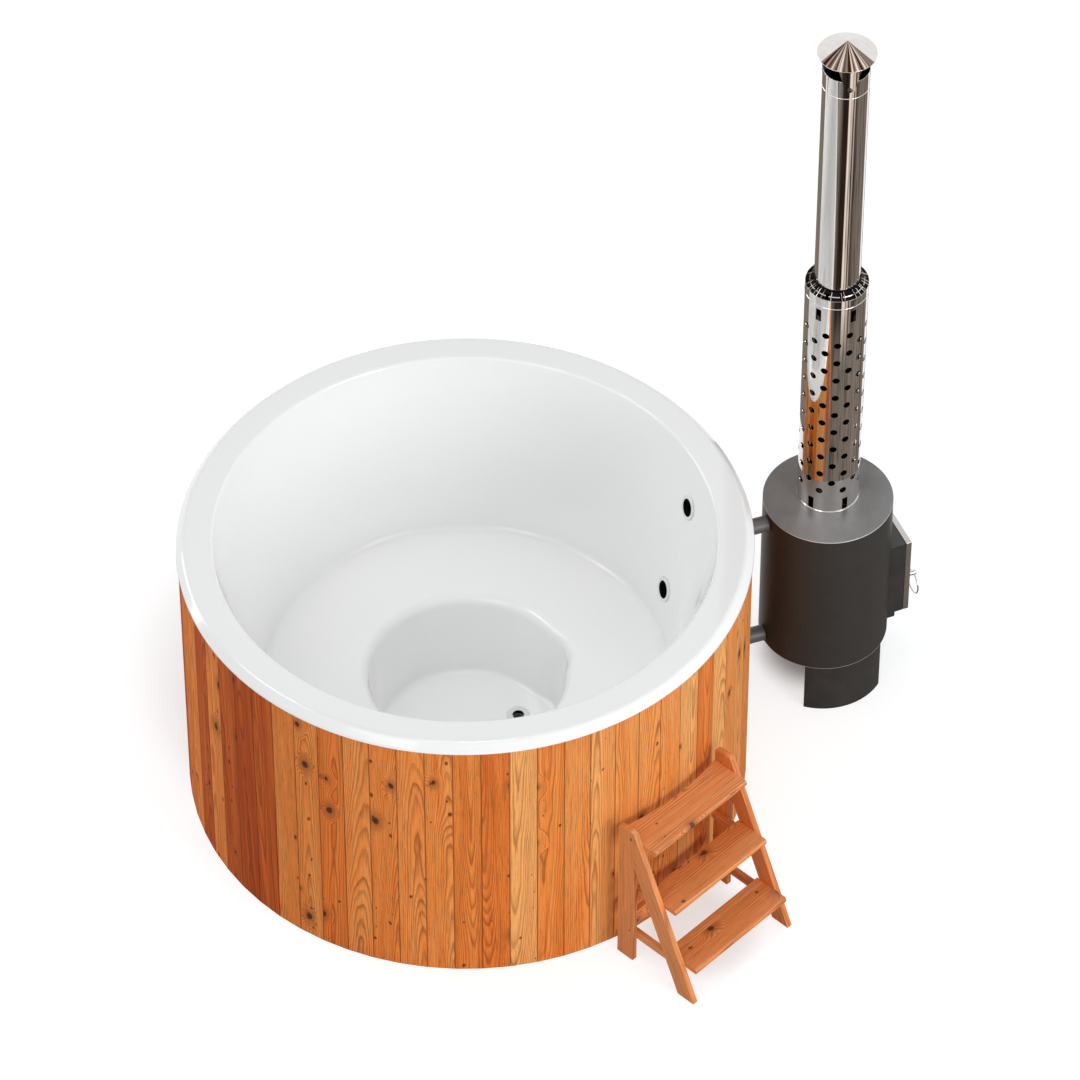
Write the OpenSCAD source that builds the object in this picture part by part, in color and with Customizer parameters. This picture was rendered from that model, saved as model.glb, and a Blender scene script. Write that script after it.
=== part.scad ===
// Wood-fired round bathing tub: moulded liner in a frame clad with boards,
// an outside stove with its chimney, and a loose set of steps.
// Origin: on the floor at the tub's axis, +Z up. Millimetres and degrees.

/* [Liner] */
// Outer radius of the rim
rim_r = 937; // [900:1:980]
// Height of the rim's top above the floor
rim_top = 1070; // [1020:2:1110]
// Width of the rim's outer roll
rim_roll = 24; // [18:1:30]
// Fall of the rim over that roll
rim_drop = 27; // [22:1:29]
// Height of the rim's outer lip
lip_h = 33; // [31:1:40]
// Width of the rim
rim_w = 117; // [110:1:130]
// Lean of the wall, from the rim's inner edge in to the bench
wall_in = 158; // [140:2:180]
// Height of the bench
bench_z = 425; // [400:5:450]
// Width of the bench
bench_w = 332; // [310:2:350]
// Lean of the footwell's wall, from the bench in to its floor
well_in = 38; // [28:1:44]
// Height of the footwell's floor
well_z = 115; // [113:1:130]
// Thickness of the moulded shell
shell_t = 6; // [4:0.5:7]
// Rounding of the rim's outer roll at its top
roll_round = 22; // [14:1:30]
// Rounding between the roll and the lip
lip_round = 12; // [8:1:14]
// Rounding of the rim's inner edge
mouth_round = 16; // [10:1:24]
// Rounding where the wall meets the bench
bench_round = 28; // [20:1:36]
// Rounding of the bench's inner edge
well_round = 20; // [14:1:26]
// Rounding of the footwell's floor
floor_round = 26; // [18:1:32]
// Direction of the bulge in the footwell's wall
bulge_az = 18; // [10:1:24]
// Reach of the bulge beyond the footwell's wall at the bench
bulge_top = 16; // [12:1:22]
// Reach of the bulge beyond the footwell's wall at its floor
bulge_floor = 31; // [24:1:34]
// Radius of the bulge's curve
bulge_r = 125; // [110:5:150]

/* [Cladding and frame] */
// Overhang of the rim past the corners of the cladding boards
rim_over = 5; // [4:0.5:12]
// Thickness of the cladding boards
board_t = 20; // [16:1:22]
// Number of cladding boards
board_count = 65; // [60:5:70]
// Direction of the first joint between boards
board_az = 2.06; // [0:0.1:5]
// Gap left between two boards
board_gap = 0.4; // [0.3:0.1:0.8]
// Bevel on the long edges of the boards
board_bevel = 1.8; // [1:0.2:2.6]
// Thickness of the boards' tongue
tongue_t = 5; // [4:0.5:6]
// Length of the boards' tongue
tongue_l = 5; // [4:0.5:6]
// Clearance of the tongue in its groove
tongue_fit = 0.8; // [0.7:0.1:1]
// Clearance between the frame and the cladding
frame_fit = 0.3; // [0.2:0.1:0.8]
// Width of the floor bearers
bearer_w = 45; // [38:1:60]
// Height of the floor bearers
bearer_h = 62; // [58:1:64]
// Distance between the floor bearers
bearer_pitch = 340; // [320:5:350]
// Thickness of the plywood deck and rings
ply_t = 18; // [15:1:21]
// Width of the ring under the rim
rim_ring_w = 52; // [40:2:56]
// Section of the frame's studs
stud_w = 42; // [34:2:46]
// Number of studs in each tier
stud_count = 8; // [6:2:8]
// Setback of the ring under the bench from the footwell's edge
ring_back = 50; // [44:1:70]

/* [Water fittings] */
// Radius of the fittings' flange
flange_r = 43; // [40:1:46]
// Thickness of the fittings' flange
flange_t = 5; // [3:0.5:6]
// Radius of the fittings' open mouth
mouth_bore_r = 30; // [27:1:31]
// Radius of the fittings' threaded body
body_r = 34; // [33:0.5:36]
// Thickness of the sealing washers
washer_t = 2; // [1.5:0.5:3]
// Thickness of the fittings' lock nut
nut_t = 12; // [10:1:14]
// Outer radius of the fittings' nut
nut_r = 46; // [43:1:50]
// Length of the hose tail
tail_l = 26; // [22:1:28]
// Height of the flat seat moulded round a fitting
seat_h = 1.6; // [1.5:0.1:2.2]
// Height of the upper fitting
hot_z = 911; // [900:1:920]
// Direction of the upper fitting
hot_az = 20.8; // [19:0.1:23]
// Height of the lower fitting
cold_z = 566; // [556:1:576]
// Direction of the lower fitting
cold_az = 19.9; // [18:0.1:22]
// Outer radius of the hoses
hose_r = 27.5; // [26:0.5:29]
// Wall of the hoses
hose_wall = 4; // [3:0.5:5]
// Clearance of the hose on what it covers
hose_fit = 0.05; // [0.02:0.01:0.1]
// Height of the upper hose where it leaves the tub
hot_out_z = 750; // [735:5:760]
// Height of the lower hose where it leaves the tub
cold_out_z = 226; // [226:1:240]

/* [Drain] */
// Distance of the drain from the footwell's wall
drain_in = 102; // [90:2:112]
// Direction of the drain
drain_az = 27; // [20:1:35]
// Outer radius of the drain pipe
drain_pipe_r = 20; // [18:1:22]
// Wall of the drain pipe
drain_wall = 2.5; // [2:0.5:3]
// Height of the drain pipe's axis
drain_z = 34; // [32:1:36]
// Length of the valve's body
valve_l = 66; // [56:2:80]
// Radius of the valve's body
valve_r = 27; // [25:1:30]
// Length of the valve's lever
lever_l = 95; // [80:5:110]

/* [Stove] */
// Gap between the stove and the cladding
stove_clear = 125; // [112:1:140]
// Direction of the stove and its hoses
stove_az = 20.14; // [18:0.5:23]
// Outer radius of the stove
stove_r = 216.7; // [210:0.5:222]
// Height of the stove's underside
stove_foot_z = 197; // [180:1:198]
// Height of the stove's top
stove_top = 802; // [790:2:820]
// Sheet thickness of the water jacket
jacket_t = 3; // [2:0.5:4]
// Thickness of the stove's top plate
lid_t = 4; // [3:0.5:6]
// Arc covered by each leg plate
leg_arc = 80; // [60:2:90]
// Outer radius of the firebox
firebox_r = 165; // [155:1:170]
// Sheet thickness of the firebox
firebox_t = 4; // [3:0.5:5]
// Height of the firebox's roof
firebox_top = 706; // [690:2:712]
// Direction that the fire door faces
door_az = 22.6; // [18:0.5:26]
// Width of the fire door
door_w = 200; // [180:2:210]
// Height of the fire door
door_h = 317; // [300:1:325]
// Height of the fire door's lower edge
door_z = 254.4; // [254:0.2:262]
// Thickness of the fire door
door_t = 20; // [16:1:24]
// Distance of the door's back face from the stove's axis
door_back = 249.6; // [245:0.2:260]
// Gap between the door's edge plate and its collar
door_gap = 1.2; // [0.6:0.1:2]
// Wall of the door's collar
collar_t = 5; // [4:0.5:6]
// Radius of the door's hinge pins
pin_r = 4; // [3:0.5:5]
// Running clearance of the hinge pins
pin_fit = 0.08; // [0.04:0.01:0.1]
// Radius of the hinge knuckles
knuckle_r = 9; // [8:0.5:11]
// Height of each hinge knuckle
knuckle_h = 22; // [18:1:28]
// Radius of the ring handle
ring_r = 42; // [38:1:48]
// Wire radius of the ring handle
ring_wire = 2.5; // [2:0.25:3]
// Play of the ring in its boss
ring_fit = 0.5; // [0.4:0.1:1]
// Distance of the handle's boss from the door's free edge
boss_in = 14; // [12:1:24]
// Height of the handle's boss above the door's lower edge
boss_up = 152; // [120:1:200]
// Length of the handle's boss
boss_l = 27; // [22:1:30]
// Radius of the handle's boss
boss_r = 9; // [8:0.5:10]
// Width of the ash box
ash_w = 140; // [120:2:150]
// Sheet thickness of the ash box and its drawer
ash_t = 2.5; // [2:0.5:3]
// Distance of the ash box's mouth from the stove's axis
ash_front = 232; // [226:1:238]
// Clearance round the ash drawer
ash_fit = 1; // [0.6:0.1:1.5]
// Reach of the water stubs out of the jacket
stub_l = 70; // [50:2:80]
// Wall of the water stubs
stub_wall = 3; // [2:0.5:4]

/* [Chimney] */
// Distance of the flue behind the stove's axis
flue_back = 28; // [20:1:34]
// Outer radius of the flue
flue_r = 75; // [70:0.5:78]
// Sheet thickness of the flue
flue_t = 1.5; // [1:0.1:2]
// Height of the flue's mouth
flue_mouth_z = 2673; // [2400:1:3000]
// Distance of the flue's joint below its mouth
flue_joint_down = 70; // [62:1:90]
// Outer radius of the heat guard
guard_r = 102.9; // [98:0.1:106]
// Sheet thickness of the heat guard
guard_t = 1.5; // [1:0.1:2]
// Height of the heat guard's top
guard_top = 1760; // [1750:2:1790]
// Columns of holes in the heat guard
hole_cols = 16; // [14:2:16]
// Direction of the first column of holes
hole_az = -87.5; // [-100:0.5:-80]
// Radius of the heat guard's holes
hole_r = 12; // [9:0.5:13]
// Distance between two holes of a column
hole_pitch = 78.4; // [70:0.1:80]
// Height of the lowest hole
hole_z = 897; // [892:1:902]
// Direction midway between two of the slots
slot_az = -92.8; // [-100:0.2:-85]
// Width of the heat guard's slots
slot_w = 20; // [16:1:22]
// Height of the heat guard's slots
slot_h = 50; // [40:1:54]
// Rise of the spacer above the heat guard
spacer_up = 24; // [18:1:30]
// Radius of the chimney's cap
cap_r = 94.4; // [88:0.2:100]
// Height of the cap's edge above the flue's mouth
cap_gap = 60; // [52:1:75]
// Height of the cap's cone
cap_h = 49; // [40:1:60]
// Number of straps that carry the cap
strap_count = 3; // [3:1:4]
// Direction of the first strap
strap_az = -83; // [-95:1:-70]
// Width of a strap at its top
strap_top_w = 84; // [70:1:90]
// Width of a strap at its bolt
strap_foot_w = 32; // [26:1:38]

/* [Steps] */
// Direction that the steps face
steps_az = -43.8; // [-50:0.5:-38]
// Sideways offset of the steps
steps_off = -34; // [-40:1:-25]
// Width over the side frames
steps_w = 473.6; // [460:1:500]
// Thickness of the steps' boards
plank_t = 20; // [18:0.5:22]
// Gap between the steps' posts and the cladding
post_gap = 10.6; // [8:0.2:18]
// Width of the posts
post_w = 70; // [60:1:76]
// Rise of the side frames above the top tread
post_up = 54; // [44:1:62]
// Reach of the stringers' foot from the posts' back
stringer_reach = 340; // [330:1:350]
// Angle of the stringers from upright
stringer_tilt = 24; // [22:0.5:26]
// Width of the stringers, measured level
stringer_w = 69; // [62:1:74]
// Rounding of the side frames' front shoulder
shoulder_r = 24; // [16:1:34]
// Fall of the side frames' top towards the back
top_fall = 8; // [0:1:12]
// Rounding of the posts' back corner
post_round = 11; // [6:1:16]
// Height of the lowest tread
tread_z = 143; // [138:1:150]
// Rise from tread to tread
tread_rise = 211; // [200:1:214]
// Depth of the treads
tread_d = 126; // [120:1:132]
// Reach of the treads' noses past the stringers
nose_out = 54; // [40:1:60]
// Rounding of the treads' nose
nose_round = 7; // [4:0.5:9]
// Gap between the top tread and the cladding
tread_gap = 30; // [24:1:34]
// Width of the lowest tread's back strip
strip_w = 26; // [20:1:32]
// Height of the cleats under the treads
cleat_h = 30; // [24:1:34]
// Lower edge of the back rail
rail_z = 160; // [150:1:170]
// Height of the back rail
rail_h = 64; // [50:1:70]

/* [Hidden] */

// Sizes that follow from the ones above
mouth_r = rim_r - rim_w;
wall_foot_r = mouth_r - wall_in;
well_top_r = wall_foot_r - bench_w;
well_floor_r = well_top_r - well_in;
bench_ring_r = well_top_r + ring_back;
drain_r = well_floor_r - drain_in;
clad_r = rim_r - rim_over;
stove_dist = clad_r + stove_clear + stove_r;
flue_joint_z = flue_mouth_z - flue_joint_down;
cap_z = flue_mouth_z + cap_gap;
post_back = clad_r + post_gap;
frame_h = tread_z + 2 * tread_rise + post_up;
// Smoothness of round parts, of small round parts and of rounded corners
fn_big = 180;
fn_small = 48;
corner_steps = 6;
// Overlap that lets a cut run clear of a face
cut = 1;
// Number of groups that the cladding boards are kept in
board_groups = 5;

white = [0.90, 0.92, 0.92];
wood = [0.74, 0.42, 0.20];
pale_wood = [0.82, 0.66, 0.44];
plywood = [0.78, 0.62, 0.42];
steel = [0.72, 0.70, 0.68];
dark_steel = [0.24, 0.22, 0.21];
rubber = [0.16, 0.16, 0.17];
zinc = [0.62, 0.63, 0.65];

// --- Plane geometry ---------------------------------------------------------

function unit(v) = v / norm(v);
function left_of(v) = [-v[1], v[0]];
function turn(a, b) = a[0] * b[1] - a[1] * b[0];

// One rounded corner of a path whose points are [x, y, rounding]
function corner(a, b, c, r) =
    let (u = unit([a[0] - b[0], a[1] - b[1]]), v = unit([c[0] - b[0], c[1] - b[1]]))
    let (half = acos(u * v) / 2, reach = r / tan(half), mid = unit(u + v))
    let (centre = [b[0], b[1]] + mid * r / sin(half))
    let (start = [b[0], b[1]] + u * reach - centre, sweep = 180 - 2 * half)
    let (way = turn(-u, v) > 0 ? 1 : -1)
    [for (i = [0:corner_steps])
        let (t = way * sweep * i / corner_steps)
        centre + [start[0] * cos(t) - start[1] * sin(t), start[0] * sin(t) + start[1] * cos(t)]];

// A path with its corners rounded
function rounded(path) = [for (i = [0:len(path) - 1])
    each (i == 0 || i == len(path) - 1 || path[i][2] == 0)
        ? [[path[i][0], path[i][1]]]
        : corner(path[i - 1], path[i], path[i + 1], path[i][2])];

function heading(path, i) = unit([path[i + 1][0] - path[i][0], path[i + 1][1] - path[i][1]]);

// The path moved to its left by t, each rounding kept in step
function beside(path, t) = [for (i = [0:len(path) - 1])
    let (a = i == 0 ? heading(path, 0) : heading(path, i - 1))
    let (b = i == len(path) - 1 ? a : heading(path, i))
    let (n = unit(left_of(a) + left_of(b)))
    let (shift = n * t / (n * left_of(a)))
    let (r = path[i][2] == 0 ? 0 : max(0.5, path[i][2] - t * sign(turn(a, b))))
    [path[i][0] + shift[0], path[i][1] + shift[1], r]];

function reversed(list) = [for (i = [len(list) - 1:-1:0]) list[i]];

// A closed outline with rounded corners
function closed(path) =
    let (n = len(path))
    [for (i = [0:n - 1])
        each path[i][2] == 0
            ? [[path[i][0], path[i][1]]]
            : corner(path[(i + n - 1) % n], path[i], path[(i + 1) % n], path[i][2])];

module tube(r, wall, h) {
    difference() {
        cylinder(r = r, h = h, $fn = fn_big);
        translate([0, 0, -cut]) cylinder(r = r - wall, h = h + 2 * cut, $fn = fn_big);
    }
}

module ring(r, inner, h, fn = fn_big) {
    difference() {
        cylinder(r = r, h = h, $fn = fn);
        translate([0, 0, -cut]) cylinder(r = inner, h = h + 2 * cut, $fn = fn);
    }
}

module around(count, first = 0) {
    for (i = [0:count - 1]) rotate([0, 0, first + i * 360 / count]) children();
}

// --- Liner ------------------------------------------------------------------

liner_path = [
    [rim_r, rim_top - lip_h, 0],
    [rim_r, rim_top - rim_drop, lip_round],
    [rim_r - rim_roll, rim_top, roll_round],
    [mouth_r, rim_top, mouth_round],
    [wall_foot_r, bench_z, bench_round],
    [well_top_r, bench_z, well_round],
    [well_floor_r, well_z, floor_round],
    [0, well_z, 0]];
wall_tilt = atan((mouth_r - wall_foot_r) / (rim_top - bench_z));
function wall_r(z) = wall_foot_r + (z - bench_z) * tan(wall_tilt);
bulge_top_at = well_top_r + bulge_top - bulge_r;
bulge_floor_at = well_floor_r + bulge_floor - bulge_r;
drain_at = [drain_r * cos(drain_az), drain_r * sin(drain_az)];
bore_fit = 0.3;

// Space inside the bulge, made thicker all round by extra
module bulge_space(extra) {
    lean = (bulge_top_at - bulge_floor_at) / (bench_z - well_z);
    rotate([0, 0, bulge_az])
        multmatrix([[1, 0, lean, bulge_floor_at - lean * well_z], [0, 1, 0, 0], [0, 0, 1, 0], [0, 0, 0, 1]])
            translate([0, 0, well_z - extra])
                cylinder(r = bulge_r + extra, h = bench_z - well_z + (extra > 0 ? 0 : cut), $fn = fn_big);
}

// Frame of a fitting on the sloping wall: +Z points into the tub
module on_wall(az, z) {
    rotate([0, 0, az]) translate([wall_r(z), 0, z]) rotate([0, wall_tilt - 90, 0]) children();
}

module on_both_walls() {
    on_wall(hot_az, hot_z) children();
    on_wall(cold_az, cold_z) children();
}

// Solid of revolution below the middle of the shell, open to the tub
module inside_middle() {
    middle = rounded(beside(liner_path, shell_t / 2));
    low = [for (p = middle) if (p[1] < bench_z - shell_t / 4) p];
    rotate_extrude($fn = fn_big) polygon(concat([[0, bench_z]], [[low[0][0], bench_z]], low));
}

module liner() {
    outer = beside(liner_path, shell_t);
    color(white) difference() {
        union() {
            rotate_extrude($fn = fn_big) polygon(concat(rounded(liner_path), reversed(rounded(outer))));
            difference() {
                bulge_space(shell_t);
                inside_middle();
            }
            on_both_walls() translate([0, 0, -shell_t / 2])
                cylinder(r = flange_r + 3, h = shell_t / 2 + seat_h, $fn = fn_small);
        }
        bulge_space(0);
        on_both_walls() translate([0, 0, -shell_t * 3])
            cylinder(r = body_r + bore_fit, h = shell_t * 5, $fn = fn_small);
        translate([drain_at[0], drain_at[1], well_z - 2 * shell_t])
            cylinder(r = drain_body_r + bore_fit, h = 3 * shell_t, $fn = fn_small);
    }
}

// --- Cladding ---------------------------------------------------------------

board_top = rim_top - lip_h - 0.5;
board_pitch = 360 / board_count;
board_face = clad_r * cos(board_pitch / 2);
function board_half(x) = x * tan(board_pitch / 2) - board_gap / 2;
frame_r = (clad_r - board_t) * cos(board_pitch / 2) - frame_fit;

module board_outline() {
    face = board_face;
    back = face - board_t;
    mid = face - board_t / 2;
    groove_t = tongue_t + 2 * tongue_fit;
    polygon([
        [back, board_half(back)],
        [mid - tongue_t / 2, board_half(mid - tongue_t / 2)],
        [mid - tongue_t / 2, board_half(mid) + tongue_l],
        [mid + tongue_t / 2, board_half(mid) + tongue_l],
        [mid + tongue_t / 2, board_half(mid + tongue_t / 2)],
        [face - board_bevel, board_half(face - board_bevel)],
        [face, board_half(face) - board_bevel],
        [face, board_bevel - board_half(face)],
        [face - board_bevel, -board_half(face - board_bevel)],
        [mid + groove_t / 2, -board_half(mid + groove_t / 2)],
        [mid + groove_t / 2, tongue_l + tongue_fit - board_half(mid)],
        [mid - groove_t / 2, tongue_l + tongue_fit - board_half(mid)],
        [mid - groove_t / 2, -board_half(mid - groove_t / 2)],
        [back, -board_half(back)]]);
}

// Group g of the boards, with the holes for the hoses and the drain
module board_group(g) {
    each_group = board_count / board_groups;
    color(wood) difference() {
        for (i = [0:each_group - 1])
            rotate([0, 0, board_az + (g * each_group + i + 0.5) * board_pitch])
                linear_extrude(board_top) board_outline();
        for (z = [hot_out_z, cold_out_z])
            rotate([0, 0, stove_az]) translate([clad_r - 3 * board_t, 0, z]) rotate([0, 90, 0])
                cylinder(r = hose_r + bore_fit, h = 6 * board_t, $fn = fn_small);
        translate([drain_at[0], clad_r - 6 * board_t, drain_z]) rotate([-90, 0, 0])
            cylinder(r = drain_pipe_r + bore_fit, h = 9 * board_t, $fn = fn_small);
    }
}

module cladding_boards_1() { board_group(0); }
module cladding_boards_2() { board_group(1); }
module cladding_boards_3() { board_group(2); }
module cladding_boards_4() { board_group(3); }
module cladding_boards_5() { board_group(4); }

// --- Frame in the cavity ----------------------------------------------------

deck_top = bearer_h + ply_t;
bench_ring_top = bench_z - shell_t;
rim_ring_top = rim_top - shell_t - frame_fit;
rim_ring_ease = 8;
stud_r = frame_r - stud_w / 2 - 4;
drop_r = frame_r - 4 * hose_r;

module floor_bearers() {
    color(pale_wood) for (i = [-2:2]) {
        half = sqrt(pow(frame_r - 4, 2) - pow(abs(i) * bearer_pitch + bearer_w / 2, 2));
        translate([i * bearer_pitch - bearer_w / 2, -half, 0]) cube([bearer_w, 2 * half, bearer_h]);
    }
}

module drain_hole(z, h, r) {
    translate([drain_at[0], drain_at[1], z - cut]) cylinder(r = r, h = h + 2 * cut, $fn = fn_small);
}

module base_deck() {
    color(plywood) difference() {
        translate([0, 0, bearer_h]) cylinder(r = frame_r, h = ply_t, $fn = fn_big);
        drain_hole(bearer_h, ply_t, drain_body_r + 8);
    }
}

module footwell_pad() {
    color(pale_wood) difference() {
        translate([0, 0, deck_top]) cylinder(r = well_floor_r - floor_round, h = well_z - shell_t - deck_top,
            $fn = fn_big);
        drain_hole(deck_top, well_z, drain_nut_r + 6);
    }
}

module studs(z0, z1) {
    around(stud_count) translate([stud_r - stud_w / 2, -stud_w / 2, z0]) cube([stud_w, stud_w, z1 - z0]);
}

module lower_studs() { color(pale_wood) studs(deck_top, bench_ring_top - ply_t); }
module upper_studs() { color(pale_wood) studs(bench_ring_top, rim_ring_top - ply_t); }

module bench_ring() {
    color(plywood) difference() {
        translate([0, 0, bench_ring_top - ply_t]) ring(frame_r, bench_ring_r, ply_t);
        rotate([0, 0, stove_az]) translate([drop_r, 0, bench_ring_top - ply_t - cut])
            cylinder(r = hose_r + 14, h = ply_t + 2 * cut, $fn = fn_small);
    }
}

module rim_ring() {
    color(plywood) rotate_extrude($fn = fn_big) polygon([
        [frame_r - rim_ring_w, rim_ring_top - ply_t],
        [frame_r, rim_ring_top - ply_t],
        [frame_r, rim_ring_top - rim_ring_ease],
        [frame_r - rim_ring_ease, rim_ring_top],
        [frame_r - rim_ring_w, rim_ring_top]]);
}

// --- Fittings and hoses -----------------------------------------------------

hose_bore = hose_r - hose_wall;
tail_r = hose_bore - hose_fit;
tail_bore = tail_r - 3;
nut_top = -shell_t - washer_t;
tail_top = nut_top - nut_t - 2;

module wall_fittings() {
    color(white) on_both_walls() rotate_extrude($fn = fn_small) polygon([
        [mouth_bore_r, seat_h + flange_t],
        [flange_r - 3, seat_h + flange_t],
        [flange_r, seat_h + flange_t - 3],
        [flange_r, seat_h],
        [body_r, seat_h],
        [body_r, tail_top],
        [tail_r, tail_top],
        [tail_r, tail_top - tail_l],
        [tail_bore, tail_top - tail_l],
        [tail_bore, tail_top + 5],
        [mouth_bore_r, tail_top + 5]]);
}

module fitting_washers() {
    color(rubber) on_both_walls() translate([0, 0, nut_top]) ring(flange_r, body_r + 0.1, washer_t, fn_small);
}

module fitting_nuts() {
    color(white) on_both_walls() translate([0, 0, nut_top - nut_t]) difference() {
        cylinder(r = nut_r, h = nut_t, $fn = 8);
        translate([0, 0, -cut]) cylinder(r = body_r + 0.1, h = nut_t + 2 * cut, $fn = fn_small);
    }
}

// Point and outward direction on a fitting's axis, at depth d behind the wall
function fitting_point(az, z, d) =
    let (r = wall_r(z) + d * cos(wall_tilt)) [r * cos(az), r * sin(az), z - d * sin(wall_tilt)];
function fitting_way(az) = [cos(wall_tilt) * cos(az), cos(wall_tilt) * sin(az), -sin(wall_tilt)];
function level_point(az, r, z) = [r * cos(az), r * sin(az), z];
function level_way(az) = [cos(az), sin(az), 0];
function bezier(a, b, c, d, t) =
    a * pow(1 - t, 3) + 3 * b * t * pow(1 - t, 2) + 3 * c * t * t * (1 - t) + d * pow(t, 3);

// A smooth stretch from point p along way u to point q along way v
function stretch(p, u, q, v, pull, steps) =
    [for (i = [1:steps - 1]) bezier(p, p + u * pull, q - v * pull, q, i / steps)];

hose_sides = 12;
function path_way(path, i) =
    unit((i == len(path) - 1 ? path[i] : path[i + 1]) - (i == 0 ? path[i] : path[i - 1]));
function ring_points(path, i, r, side) =
    let (w = path_way(path, i), a = unit(side - w * (side * w)), b = cross(w, a))
    [for (k = [0:hose_sides - 1])
        let (t = k * 360 / hose_sides)
        path[i] + r * (a * cos(t) + b * sin(t))];

// A tube that follows a path of points; side is a direction the path never takes
module hose_along(path, r, bore, side) {
    n = len(path);
    m = hose_sides;
    outer = [for (i = [0:n - 1]) each ring_points(path, i, r, side)];
    inner = [for (i = [0:n - 1]) each ring_points(path, i, bore / cos(180 / m), side)];
    skin = [for (i = [0:n - 2], k = [0:m - 1])
        [i * m + k, i * m + (k + 1) % m, (i + 1) * m + (k + 1) % m, (i + 1) * m + k]];
    polyhedron(concat(outer, inner), concat(
        [for (f = skin) reversed(f)],
        [for (f = skin) [for (v = f) v + n * m]],
        [for (k = [0:m - 1]) [k, (k + 1) % m, (k + 1) % m + n * m, k + n * m]],
        [for (k = [0:m - 1]) reversed([k, (k + 1) % m, (k + 1) % m + n * m, k + n * m]
            + [1, 1, 1, 1] * (n - 1) * m)]), convexity = 6);
}

hose_end = stove_dist - stove_r - 0.3;
hose_enter = clad_r - board_t - 2;
tail_from = -tail_top + 1;
tail_to = -tail_top + tail_l + 4;
side_way = [-sin(stove_az), cos(stove_az), 0];
upper_path = concat(
    [fitting_point(hot_az, hot_z, tail_from), fitting_point(hot_az, hot_z, tail_to)],
    stretch(fitting_point(hot_az, hot_z, tail_to), fitting_way(hot_az),
        level_point(stove_az, hose_enter, hot_out_z), level_way(stove_az), 88, 14),
    [level_point(stove_az, hose_enter, hot_out_z), level_point(stove_az, hose_end, hot_out_z)]);
lower_path = concat(
    [fitting_point(cold_az, cold_z, tail_from), fitting_point(cold_az, cold_z, tail_to)],
    stretch(fitting_point(cold_az, cold_z, tail_to), fitting_way(cold_az),
        level_point(stove_az, drop_r, bench_z), [0, 0, -1], 50, 8),
    [level_point(stove_az, drop_r, bench_z), level_point(stove_az, drop_r, bench_z - 60)],
    stretch(level_point(stove_az, drop_r, bench_z - 60), [0, 0, -1],
        level_point(stove_az, hose_enter, cold_out_z), level_way(stove_az), 75, 9),
    [level_point(stove_az, hose_enter, cold_out_z), level_point(stove_az, hose_end, cold_out_z)]);

module upper_hose() { color(rubber) hose_along(upper_path, hose_r, hose_bore, side_way); }
module lower_hose() { color(rubber) hose_along(lower_path, hose_r, hose_bore, side_way); }

clamp_w = 9;
clamp_t = 0.8;
module hose_clamps() {
    color(zinc) on_both_walls() translate([0, 0, tail_top - 6 - clamp_w]) {
        ring(hose_r + clamp_t + 0.1, hose_r + 0.1, clamp_w, fn_small);
        translate([-6, hose_r + 0.4, 0]) cube([12, 7, clamp_w]);
    }
}

// --- Drain ------------------------------------------------------------------

drain_flange_r = 40;
drain_flange_t = 3;
drain_body_r = drain_pipe_r + 6;
drain_nut_r = drain_body_r + 8;
drain_nut_t = 9;
drain_bore = drain_pipe_r - drain_wall;
drain_out_y = clad_r + 10;
spout_l = 24;

module at_drain(z) { translate([drain_at[0], drain_at[1], z]) children(); }

module drain_fitting() {
    color(zinc) at_drain(0) difference() {
        union() {
            translate([0, 0, well_z])
                cylinder(r1 = drain_flange_r, r2 = drain_flange_r - 2, h = drain_flange_t, $fn = fn_small);
            translate([0, 0, deck_top + 2])
                cylinder(r = drain_body_r, h = well_z - deck_top - 2, $fn = fn_small);
        }
        translate([0, 0, deck_top])
            cylinder(r = drain_pipe_r + 0.05, h = well_z - deck_top - 12, $fn = fn_small);
        translate([0, 0, deck_top]) cylinder(r = drain_pipe_r - 1, h = well_z, $fn = fn_small);
    }
}

module drain_washer() {
    color(rubber) at_drain(well_z - shell_t - washer_t)
        ring(drain_nut_r, drain_body_r + 0.1, washer_t, fn_small);
}

module drain_nut() {
    color(zinc) at_drain(well_z - shell_t - washer_t - drain_nut_t) difference() {
        cylinder(r = drain_nut_r, h = drain_nut_t, $fn = 8);
        translate([0, 0, -cut]) cylinder(r = drain_body_r + 0.1, h = drain_nut_t + 2 * cut, $fn = fn_small);
    }
}

elbow_r = drain_pipe_r + 4;
elbow_lap = 6;

// Upright and level runs of the drain, each carried a little past the elbow's centre
module pipe_run(r, over) {
    at_drain(drain_z - elbow_lap)
        cylinder(r = r, h = well_z - 13 - drain_z + elbow_lap + over, $fn = fn_small);
    translate([drain_at[0], drain_at[1] - elbow_lap, drain_z]) rotate([-90, 0, 0])
        cylinder(r = r, h = drain_out_y - drain_at[1] + elbow_lap + over, $fn = fn_small);
}

module drain_pipe() {
    color(zinc) difference() {
        union() {
            pipe_run(drain_pipe_r, 0);
            at_drain(drain_z) sphere(r = elbow_r, $fn = fn_small);
        }
        pipe_run(drain_bore, cut);
    }
}

ball_r = drain_bore + 4;
ball_y = drain_out_y + valve_l / 2;
stem_r = 5;
stem_fit = 0.06;
valve_top = drain_z + valve_r + 8;

module at_ball() { translate([drain_at[0], ball_y, drain_z]) children(); }

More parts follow.
